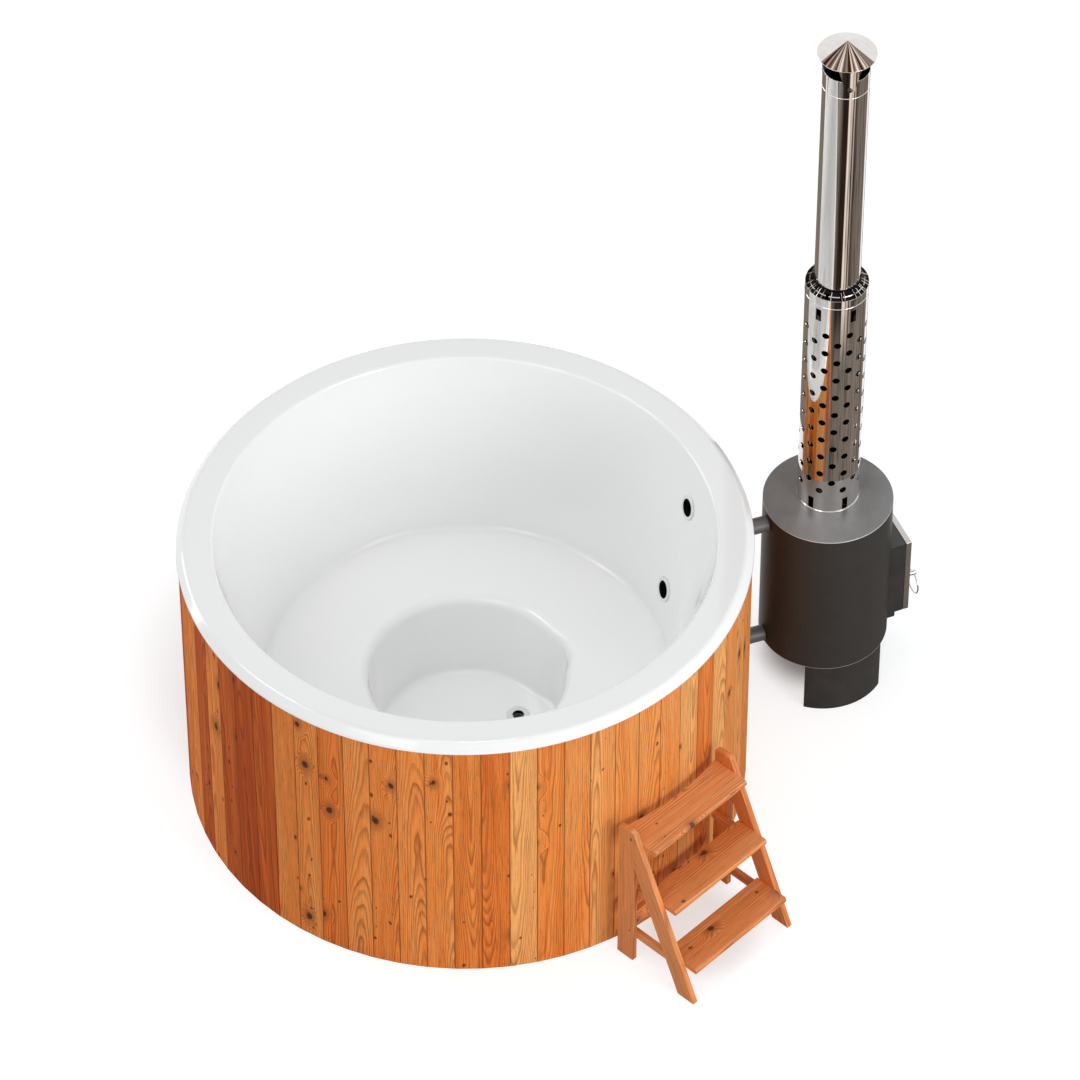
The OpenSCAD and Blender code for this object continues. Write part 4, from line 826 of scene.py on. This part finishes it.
def make_collar():
    front, half = DOOR_BACK - 1.2, DOOR_W / 2

    def box(back, front, inset):
        """A plain box as high and wide as the door, less an inset all round."""
        return block((back, inset - half, DOOR_Z + inset),
                     (front, half - inset, DOOR_Z + DOOR_H - inset), 0)

    collar = cut_away(box(128, front, 0), [box(100, front + 5, 5)])
    finished(at_door(ease(collar, 1.2)), "door_collar_box", STOVE_PAINT,
             ["door_collar"])
    gasket = cut_away(box(front - 0.2, front + 1.1, 3), [box(front - 5, front + 5, 15)])
    finished(at_door(gasket), "door_rope_seal", SEAL_RUBBER, angle=35)


def make_fire_door():
    half, fold = DOOR_W / 2, 2.5
    door = block((DOOR_BACK, -half, DOOR_Z), (DOOR_BACK + DOOR_T, half, DOOR_Z + DOOR_H), 0)
    # The back is hollowed up to the front sheet, which leaves a folded rim
    pick(door)
    for item in [*door.data.vertices, *door.data.edges]:
        item.select = False
    for polygon in door.data.polygons:
        polygon.select = polygon.normal.x < -0.9
    mode("EDIT")
    bpy.ops.mesh.select_mode(type="FACE")
    bpy.ops.mesh.inset(thickness=fold * MM)
    extrude(((DOOR_T - fold) * MM, 0, 0))
    mode("OBJECT")
    ease(door, 1.4, 3)
    # Two hinge barrels beside the door, each on a leaf
    barrel_r, long, pin_hole_r, low, high = 9, 22, 4.08, 67.4, 40.6
    x, y = DOOR_BACK + DOOR_T / 2, half + 10
    pieces = [door]
    for z in (DOOR_Z + low, DOOR_Z + DOOR_H - high):
        middle = (x, y, z + long / 2)
        barrel = cut_away(rod(barrel_r, long, middle, ease_by=0.8), [rod(pin_hole_r, 30, middle)])
        pieces += [barrel, block((x, half - 4, z), (x + 4, half + 3.2, z + long), 0.5)]
    finished(at_door(joined(pieces)), "fire_door_panel", DOOR_STEEL, ["fire_door"],
             body="fire_door")


def make_handle():
    y, z, boss_l, boss_r, ring_r, wire_r = -DOOR_W / 2 + 14, DOOR_Z + 152, 27, 9, 42, 2.5
    wide, waist = boss_r + 2, boss_r - 1.2
    boss = turned([(0, 0, 0), (wide, 0, 0.6), (wide, 2.5, 1), (waist, 4.5, 2), (waist, 7.5, 1),
                   (boss_r, 9.5, 1.2), (boss_r, boss_l, 2.2), (0, boss_l, 0)], 4, steps=64)
    laid(boss, (DOOR_BACK + DOOR_T, y, z))
    x = DOOR_BACK + DOOR_T + boss_l - boss_r
    cut_away(boss, [rod(3.98, 60, (x, y, z), (90, 0, 0), sides=32)])
    finished(at_door(boss), "handle_boss_knob", POLISHED, ["handle_boss"], 40,
             "fire_door")
    clear()
    middle, foot = Vector(metres((x, y, z - ring_r))), Vector(metres((x, y, z - 2 * ring_r)))
    bpy.ops.mesh.primitive_torus_add(
        major_segments=128, minor_segments=24, major_radius=ring_r * MM,
        minor_radius=wire_r * MM, location=middle, rotation=(0, pi / 2, 0))
    ring = settle(bpy.context.object)
    # A welded joint swells the wire a little at the ring's foot
    reach, swell = 0.006, 0.12
    for vertex in ring.data.vertices:
        away = (vertex.co - foot).length
        if away < reach:
            drop = sqrt(max(0, (ring_r * MM) ** 2 - (vertex.co.y - middle.y) ** 2))
            spine = Vector((middle.x, vertex.co.y, middle.z - drop))
            vertex.co += (vertex.co - spine) * swell * (1 - away / reach)
    finished(at_door(ring), "ring_pull", POLISHED, ["ring_handle"], 60, "ring_handle")


def make_ash_drawer():
    """The drawer's front sheet with its turned knob, and the open tray behind."""
    front = block((232.4, -ASH_HALF, ASH_LOW + 0.5), (234.9, ASH_HALF, 253.5), 0.8)
    knob = turned([(0, 0, 0), (4.5, 0, 0), (4.5, 6, 1), (7, 9, 1), (7, 13.5, 2.4),
                   (0, 13.6, 0)], 4, steps=48)
    tray = cut_away(block((-116.4, -66.4, 203), (232.2, 66.4, 248.3), 0),
                    [block((-114, -64, 205.4), (229.9, 64, 260), 0)])
    parts = [front, laid(knob, (234.4, 0, 227.0)), ease(tray, 0.6)]
    finished(at_door(joined(parts)), "ash_drawer_tray", STOVE_PAINT,
             ["ash_drawer"], body="ash_drawer")


def hose(points):
    """A round hose along points in millimetres, with its bore."""
    clear()
    bpy.ops.curve.primitive_nurbs_path_add()
    curve = bpy.context.object
    curve.data.splines.clear()
    spline = curve.data.splines.new("POLY")
    spline.points.add(len(points) - 1)
    for target, point in zip(spline.points, points):
        target.co = (*metres(point), 1)
    curve.location = (0, 0, 0)
    curve.data.dimensions = "3D"
    curve.data.bevel_depth = HOSE_R * MM
    curve.data.bevel_resolution = 10
    curve.data.use_fill_caps = False
    pick(curve)
    bpy.ops.object.convert(target="MESH")
    tube = tidy_mesh(bpy.context.object)
    return apply(tube, "SOLIDIFY", thickness=(HOSE_R - HOSE_BORE_R) * MM, offset=-1)


def make_hoses():
    end, enter, first, last = STOVE_DIST - STOVE_R - 0.3, CLAD_R - BOARD_T - 2, 23, 52

    def level(r, z):
        return Vector((*polar(r, STOVE_AZ), z))

    def leaving(azimuth, z):
        """Two points behind a wall fitting and the way in which its hose leaves it."""
        way = Vector((*polar(cos(WALL_TILT), azimuth), -sin(WALL_TILT)))
        spot = Vector((*polar(wall_r(z), azimuth), z))
        return spot + way * first, spot + way * last, way

    def bend(a, a_way, b, b_way, pull, steps):
        """Points of a smooth bend that leaves a by one way and reaches b by another."""
        curve = []
        for k in range(1, steps):
            t = k / steps
            curve.append(a * (1 - t) ** 3 + (a + a_way * pull) * 3 * t * (1 - t) ** 2
                         + (b - b_way * pull) * 3 * t * t * (1 - t) + b * t ** 3)
        return curve

    def dressed(points, name):
        finished(hose(points), name + "_tube", HOSE_RUBBER, [name], 50)

    out, down = level(1, 0), -Z
    goal = level(enter, HOT_OUT_Z)
    start, free, way = leaving(HOT_AZ, HOT_Z)
    dressed([start, free, *bend(free, way, goal, out, 88, 28), goal, level(end, HOT_OUT_Z)],
            "upper_hose")
    goal = level(enter, COLD_OUT_Z)
    start, free, way = leaving(COLD_AZ, COLD_Z)
    high, low = level(800.6, BENCH_Z), level(800.6, BENCH_Z - 60)
    dressed([start, free, *bend(free, way, high, down, 50, 16), high, low,
             *bend(low, down, goal, out, 75, 18), goal, level(end, COLD_OUT_Z)], "lower_hose")


make_shell()
make_lid()
make_legs()
make_collar()
make_fire_door()
make_handle()
make_ash_drawer()
make_hoses()


# --- Chimney ----------------------------------------------------------------

def make_flue():
    inner = FLUE_R - FLUE_T
    lower = hooped([(FLUE_R, FLUE_FOOT, 0), (FLUE_R, FLUE_JOINT, 0.3), (inner, FLUE_JOINT, 0.3),
                    (inner, FLUE_FOOT, 0)], 2, FLUE, 256)
    finished(lower, "flue_tube", FLUE_STEEL, ["flue_pipe"])
    upper = hooped([(FLUE_R, FLUE_JOINT, 0.2), (FLUE_R + 1.4, FLUE_JOINT + 1.4, 1.0),
                    (FLUE_R, FLUE_JOINT + 2.8, 0.4), (FLUE_R, FLUE_TOP, 0.7),
                    (inner, FLUE_TOP, 0.7), (inner, FLUE_JOINT, 0)], 4, FLUE, 256)
    finished(upper, "flue_top_collar", POLISHED, ["flue_top"])


def make_guard():
    foot, bead, inner = STOVE_TOP + 1.5, GUARD_TOP - 35, GUARD_R - GUARD_T
    guard = hooped([(GUARD_R, foot, 0), (GUARD_R, bead - 1.6, 0.6), (GUARD_R + 1.4, bead, 1),
                    (GUARD_R, bead + 1.6, 0.6), (GUARD_R, GUARD_TOP, 0.6),
                    (inner, GUARD_TOP, 0.6), (inner, foot, 0)], 3, (0, 0), 256)
    cutters = []

    def punch(tool, z, azimuth):
        twin = copied(tool)
        twin.location.z = z * MM
        twin.rotation_euler.z = radians(azimuth)
        cutters.append(twin)

    # Round holes in staggered columns, then four slots below and four above them
    hole = rod(12, 60, (GUARD_R, 0, 0), (0, 90, 0), sides=28)
    lowest, apart, columns, first_column = 897, 78.4, 16, -87.5
    for column in range(columns):
        odd = column % 2
        for row in range(9 + odd):
            punch(hole, lowest + (row + 0.5 * (1 - odd)) * apart, first_column + column * 22.5)
    slot = block((GUARD_R - 20, -10, 0), (GUARD_R + 20, 10, 50), 0)
    for z in (STOVE_TOP + 4, bead - 65):
        for turn in (-99.3, -33.1, 33.1, 99.3):
            punch(slot, z, turn - 92.8)
    for spare in (hole, slot):
        bpy.data.objects.remove(spare)
    cut_away(guard, [settle(joined(cutters))])
    finished(placed(guard, 0, FLUE), "heat_guard_sleeve", POLISHED, ["heat_guard"])

    low, high, seat = FLUE_R + 0.3, FLUE_R + 2.3, GUARD_R + 2.5
    base = hooped([(seat, STOVE_TOP, 0.2), (seat, foot, 0.6), (high, foot, 0),
                   (high, foot + 14, 0.4), (low, foot + 14, 0.4), (low, STOVE_TOP, 0)],
                  3, FLUE, 160)
    finished(base, "guard_base_flange", POLISHED, ["guard_base_ring"])


def make_spacer():
    inner, outer = FLUE_R + 0.3, GUARD_R - GUARD_T - 0.3
    low, top, ridge = GUARD_TOP - 3, GUARD_TOP, (inner + outer) / 2
    spacer = hooped([(inner, top + 24, 0.4), (inner + 2, top + 24, 0.4), (inner + 2, top + 14, 2),
                     (ridge - 2, top + 6.8, 0.4), (ridge, top + 7.6, 0.8),
                     (ridge + 2, top + 4, 0.4), (outer, low, 1.2), (outer, low - 12, 0.3),
                     (outer - 1.5, low - 12, 0.3), (outer - 1.5, low - 1.5, 0.6),
                     (inner + 0.5, top + 11, 1), (inner, top + 11, 0)], 3, (0, 0), 192)
    cut_away(spacer, [placed(block((inner + 6, -5, top - 20), (outer - 5, 5, top + 40), 0),
                             7 + k * 30) for k in range(12)])
    tabs = []
    rng = random.Random(3)
    for turn in (-168, -157, -150, -139, -133, -122, -104, -83, -77, -55, -44, -33, -26, -15, -6,
                 12, 40, 75, 110, 140, 165):
        tab = block((0, -0.9, 0), (30, 0.9, 1.3), 0.3)
        tab.rotation_euler = (0, radians(rng.uniform(24, 38)), 0)
        tab.location = metres((inner + rng.uniform(0.5, 4), 0, top + rng.uniform(14, 19)))
        tabs.append(placed(settle(tab), turn))
    tabs = joined(tabs)
    # Painted highlights: the tabs and a thin ring along the ridge are marked to be painted bright
    # metal
    store(tabs, "bright", lambda co: 1)
    store(spacer, "bright", lambda co: abs(hypot(co.x, co.y) / MM - ridge) < 0.7
          and co.z > (top + 6) * MM)
    finished(placed(joined([spacer, tabs]), 0, FLUE), "guard_spacer_cone",
             SPACER_STEEL, ["guard_spacer"])


def make_cap():
    slope, sheet, lip, inner = CAP_H / CAP_R, 1.6, CAP_Z - 2.5, CAP_R - 1.2
    tip = CAP_Z + CAP_H
    cone = turned([(0, tip, 0), (1, tip - slope, 0), (CAP_R * 0.5, CAP_Z + CAP_H / 2, 0),
                   (CAP_R, CAP_Z, 0.8), (CAP_R, lip, 0.3), (inner, lip, 0),
                   (inner, CAP_Z + 1.2 * slope - sheet, 0), (0, tip - sheet, 0)], 3, FLUE, 192)
    finished(cone, "rain_cap_cone", CAP_STEEL, ["rain_cap"], 22)
    # Each strap is a piece of a wide band, cut to a tongue that widens to the cap
    bolt_z, strap_r, bend_r, tongue_r, top_half = FLUE_TOP - 31, FLUE_R + 1.5, 95, 16, 42
    top_z, low_z = CAP_Z + (CAP_R - strap_r) * slope - 1.8, bolt_z - 30
    foot = [polar(-tongue_r, t) for t in range(0, 181, 12)]
    tongue = [(x, bolt_z + z) for x, z in foot] + [(top_half, top_z), (-top_half, top_z)]
    straps, bolts = [], []
    for k in range(3):
        azimuth = STRAP_AZ + k * 120
        band = hooped([(bend_r, low_z, 0), (bend_r, top_z, 0), (bend_r - 1.4, top_z, 0),
                       (bend_r - 1.4, low_z, 0)], 1, (strap_r - bend_r, 0), 256)
        keep = drawn_out([(0.03, x * MM, z * MM) for x, z in tongue], (0.08, 0, 0))
        straps.append(placed(cut_away(band, [keep], "INTERSECT"), azimuth, FLUE))
        head = turned([(0, 4.6, 0), (5, 4.2, 2), (8, 2.6, 1.5), (8, 0, 0.3), (0, 0, 0)], 4,
                      steps=40)
        shank = rod(3, 12, (FLUE_R - 3.5, 0, bolt_z), (0, 90, 0))
        nut = rod(5.5, 5.5, (FLUE_R - 4.6, 0, bolt_z), (0, 90, 0), 0.4, 6)
        bolt = joined([laid(head, (strap_r, 0, bolt_z)), shank, nut])
        bolts.append(placed(bolt, azimuth, FLUE))
    finished(joined(straps), "cap_strap_set", POLISHED, ["cap_straps"])
    finished(joined(bolts), "cap_bolt_set", BOLT_STEEL, ["cap_bolts"], 35)


make_flue()
make_guard()
make_spacer()
make_cap()


# --- Steps ------------------------------------------------------------------

def front_at(z):
    return POST_BACK + REACH - z * tan(radians(TILT))


def profiled(outline, depth, y):
    """A board cut to an outline of (distance, height), depth thick from a place along +Y."""
    board = drawn_out([(x * MM, 0, z * MM) for x, z in outline], (0, depth * MM, 0))
    board.location.y = y * MM
    return settle(board)


def make_steps():
    rng = random.Random(5)
    foot, post_front = POST_BACK + REACH, POST_BACK + POST_W
    inner = STEPS_W / 2 - PLANK
    wide = inner - 0.3
    outline = rounded_loop([(POST_BACK, 0, 0), (foot, 0, 0), (front_at(FRAME_H), FRAME_H, 24),
                            (POST_BACK, FRAME_H - 8, 11)], 10)
    lean = radians(TILT)
    along, across = Vector((-sin(lean), 0, cos(lean))), Vector((cos(lean), 0, sin(lean)))

    def dressed(obj, name, node):
        finished(at_steps(obj), name, STEP_WOOD, [node], body="steps")

    # Each side frame is one outline, cut into an upright post and a leaning stringer
    posts, stringers = [], []
    for y in (-STEPS_W / 2, inner):
        post = ease(sliced(profiled(outline, PLANK, y), [(post_front - 0.3, X, False)]), 2.6, 3, 50)
        posts.append(mark_wood(post, Z, X, Y, rng, tone=rng.uniform(0.35, 0.6), knotty=0.9))
        cuts = [(post_front, X, True), (foot - STRINGER_W, across, True)]
        stringer = ease(sliced(profiled(outline, PLANK, y), cuts), 2.6, 3, 50)
        stringers.append(mark_wood(stringer, along, across, Y, rng, tone=rng.uniform(0.45, 0.7),
                                   knotty=0.8))
    dressed(joined(posts), "step_post_pair", "step_posts")
    dressed(joined(stringers), "step_stringer_pair", "step_stringers")

    # The bottom tread leaves room for its strip, and the top one reaches in under the rim
    strip_back = front_at(TREAD_Z) + NOSE_OUT - TREAD_D - 4
    for k, (name, tone, back) in enumerate((("tread_bottom", 0.55, strip_back + 30),
                                            ("tread_middle", 0.62, None),
                                            ("tread_top", 0.5, POST_BACK - 40))):
        z = TREAD_Z + k * TREAD_RISE
        nose = front_at(z) + NOSE_OUT
        back = back or nose - TREAD_D
        tread = profiled(rounded_loop([(back, z - PLANK, 0), (nose, z - PLANK, 4), (nose, z, 8),
                                       (back, z, 0)], 8), 2 * wide, -wide)
        if name == "tread_top":
            cut_away(tread, [rod(CLAD_R + 30, 200, (0, -STEPS_OFF, z), sides=360)])
        ease(tread, 1.6, 2, 50)
        mark_wood(tread, Y, X, Z, rng, tone=tone, tilt=0.03, knotty=0.95)
        dressed(tread, name + "_board", name)
    strip = block((strip_back, -wide, TREAD_Z - PLANK), (strip_back + 29.7, wide, TREAD_Z), 2.2, 3)
    mark_wood(strip, Y, X, Z, rng, tone=0.6)
    dressed(strip, "tread_strip_board", "tread_back_strip")
    cleats, cleat_w, cleat_h = [], 19, 30
    for y in (-inner, inner - cleat_w):
        for k in range(3):
            z = TREAD_Z + k * TREAD_RISE - PLANK
            cleat = block((POST_BACK + 8, y, z - cleat_h),
                          (front_at(z + PLANK) - 10, y + cleat_w, z), 1.6)
            cleats.append(mark_wood(cleat, X, Z, Y, rng))
    dressed(joined(cleats), "tread_cleat_set", "tread_cleats")
    rail = block((post_front - 24, -wide, 160), (post_front - 4, wide, 224), 1.8)
    mark_wood(rail, Y, Z, X, rng, tone=0.45)
    dressed(rail, "back_rail_board", "back_rail")


make_steps()


# --- CAD nodes that stay, in their own finishes -------------------------------

KEPT = {
    PINE: ("lower_studs", "upper_studs", "footwell_pad"),
    PINE_LEVEL: ("floor_bearers",),
    PLYWOOD: ("base_deck", "bench_ring", "rim_ring"),
    SEAL_RUBBER: ("fitting_washers", "drain_washer"),
    FITTING_PLASTIC: ("fitting_nuts",),
    DRAIN_PLASTIC: ("drain_fitting",),
    ZINC: ("hose_clamps", "drain_nut", "drain_pipe", "hinge_pins", "cleat_screws"),
    BRASS: ("valve_body",),
    POLISHED: ("valve_ball",),
    RED_PAINT: ("valve_lever",),
    STOVE_PAINT: ("stove_floor", "firebox", "water_stubs", "collar_hinges", "ash_box"),
    IRON: ("fire_grate",),
    INSULATION: ("door_seal",),
}
for material, names in KEPT.items():
    for name in names:
        nodes[name].data.materials.clear()
        nodes[name].data.materials.append(material)


# --- Studio -----------------------------------------------------------------

def flat_card(place, size):
    """A level rectangle, place and size in metres."""
    clear()
    bpy.ops.mesh.primitive_plane_add(size=1, location=place)
    card = bpy.context.object
    card.scale = (*size, 1)
    return settle(card)


def hang(card, name, glow, strength=1.0, at=None):
    """Makes a card glow and lets only mirrors see it."""
    f = Finish(name, (0, 0, 0), roughness=1.0, specular_ior_level=0.0)
    f.set("Emission Color", glow(f) if callable(glow) else glow)
    f.set("Emission Strength", strength)
    dress(card, name, f.material)
    if at:
        card.location = metres((*at, 0))
    for kind in ("camera", "diffuse", "transmission", "shadow", "volume_scatter"):
        setattr(card, "visible_" + kind, False)


def make_floor():
    floor = flat_card((0, 0, 0), (120, 120))
    pale = (0.88, 0.88, 0.88)
    f = Finish("studio_floor", pale, roughness=0.9, specular_ior_level=0.0)
    seen = f.seen()
    f.set("Emission Color", (1, 1, 1))
    # The bounce is that of a pale floor. What is seen glows a little, so that it is white, and
    # glows less in three painted soft shadows: (x, y), radius where full, radius where gone, and
    # depth
    stove_x, stove_y = metres(STOVE)
    shades = (((-0.35, 0.45), 0.60, 0.88, 0.35),  # behind the tub's left side
              ((stove_x - 0.016, stove_y + 0.08), 0.11, 0.245, 1.0),  # under the stove
              ((0.76, -0.77), 0.13, 0.24, 0.3))  # under the steps
    shade = 0.0
    for spot, full, none, depth in shades:
        away = f.node("VectorMath", {0: f.place(), 1: (*spot, 0)}, "Value", operation="DISTANCE")
        shade = f.maths("MAXIMUM", shade, f.span(away, full, none, depth, 0.0, "SMOOTHSTEP"))
    lit = f.mix(shade, (0.45, 0.466, 0.478), (0.64, 0.69, 0.73))
    f.set("Base Color", f.mix(seen, pale, lit))
    f.set("Emission Strength", f.times(seen, f.line(shade, -0.59, 0.72)))
    dress(floor, "studio_floor", f.material)


TAUPE, DARK = (0.235, 0.195, 0.165), (0.13, 0.10, 0.082)
BLACK, CREAM = (0.035, 0.022, 0.017), (1.0, 0.86, 0.76)


def ground_glow(f):
    """Taupe ground round the flue, with darker and lighter wedges in front of the stove."""
    here = f.node("TexCoord", output="Object")
    x, y, _ = f.parts(here)
    angle = f.maths("ARCTAN2", y, x)
    turn = f.line(angle, 1 / tau, 0.5)
    away = f.node("VectorMath", {0: here}, "Value", operation="LENGTH")

    def wedges(stops):
        """Colours by azimuth in degrees, taupe on the side away from the camera."""
        stops = [((azimuth + 180) / 360, colour) for azimuth, colour in stops]
        return f.ramp(turn, [(0.0, TAUPE), *stops, (1.0, TAUPE)])

    far = wedges([(-119, (0.30, 0.27, 0.245)), (-104, DARK), (-97, BLACK), (-75, BLACK),
                  (-72, CREAM), (-62, CREAM), (-60.5, DARK), (-59, CREAM),
                  (-53, (0.6, 0.5, 0.43)), (-51, BLACK), (-47, DARK), (-45, (0.75, 0.63, 0.54)),
                  (-41, TAUPE), (-37, BLACK), (-33, DARK), (-20, TAUPE), (60, TAUPE), (95, DARK)])
    near = wedges([(-100, (0.20, 0.165, 0.14)), (-60, TAUPE), (0, (0.27, 0.23, 0.2)), (90, DARK)])
    base = f.mix(f.span(away, 1.55, 2.0, curve="SMOOTHSTEP"), near, far)
    rays = f.node("CombineXYZ", {"X": f.times(angle, 7.0), "Y": f.times(away, 2.2)})
    worn = f.ramp(f.noise(rays, 1.0, 5, 0.7), [(0.38, 0.35), (0.50, 0.95), (0.75, 1.2)])
    return f.mix(1.0, base, worn, "MULTIPLY")


def ceiling_glow(f):
    """Pale strips on a dark ground, for the rain cap's front."""
    return f.ramp(f.noise(f.place((2.4, 0.05, 1)), 1.0, 2, 0.5), [
        (0.40, (0.05, 0.018, 0.012)), (0.45, (0.16, 0.09, 0.07)), (0.48, (0.34, 0.28, 0.24)),
        (0.55, (0.27, 0.22, 0.185)), (0.60, (1.1, 0.95, 0.84))])


def make_cards():
    """Cards that only mirrors see, in place of a room, sizes in metres."""
    ring = [(*polar(3.6, a), 0.002) for a in range(168, 406, 7)]
    ground = trace([(0, 0, 0.002)] + ring, closed=True)
    mode("OBJECT")
    hang(settle(ground), "ground_card", ground_glow, at=FLUE)
    # The same taupe behind the flue, for its far edges
    edge = [(*polar(0.35, a), 0.84) for a in range(52, 170, 6)]
    hang(drawn_out(edge, (0, 0, 1.56), closed=False), "flue_curtain", TAUPE, at=FLUE)
    hang(flat_card((1.2, 1.0, 5.8), (7.0, 2.8)), "ceiling_card", ceiling_glow)
    # A long light overhead draws thin bright lines on the moulding's roundings
    hang(flat_card((0.0, 1.2, 9.0), (16.0, 1.6)), "edge_light", (1, 1, 1), 5.5)


def add_light(kind, name, place, power):
    clear()
    bpy.ops.object.light_add(type=kind, location=place)
    light = bpy.context.object
    light.name = name
    light.data.energy = power
    return light


def make_lights():
    world = bpy.data.worlds.new("studio")
    bpy.context.scene.world = world
    world.use_nodes = True
    sky = Nodes(world.node_tree, "Background")
    sky.set("Color", SKY)
    sky.set("Strength", sky.span(sky.seen(), 0.0, 1.0, SKY_LIGHT, 1.0))
    for name, place, aim, size, power in SOFTBOXES:
        light = add_light("AREA", name, place, power)
        light.data.shape = "SQUARE"
        light.data.size = size
        light.rotation_euler = (Vector(aim) - Vector(place)).to_track_quat("-Z", "Y").to_euler()
    # A soft spot straight down into the tub
    spot = add_light("SPOT", "tub_spot", (0, 0, SPOT_HEIGHT), SPOT_POWER)
    spot.data.spot_size = radians(SPOT_ANGLE)
    spot.data.spot_blend = 1.0
    spot.data.shadow_soft_size = SPOT_SOFTNESS


def make_camera():
    clear()
    bpy.ops.object.camera_add(location=CAMERA_PLACE, rotation=(radians(90 - CAMERA_DOWN), 0, 0))
    camera = bpy.context.object
    camera.data.sensor_width = 36
    camera.data.lens = CAMERA_LENS
    camera.data.clip_end = 400
    bpy.context.scene.camera = camera


make_floor()
make_cards()
make_lights()
make_camera()
bpy.context.scene.view_settings.view_transform = "Standard"
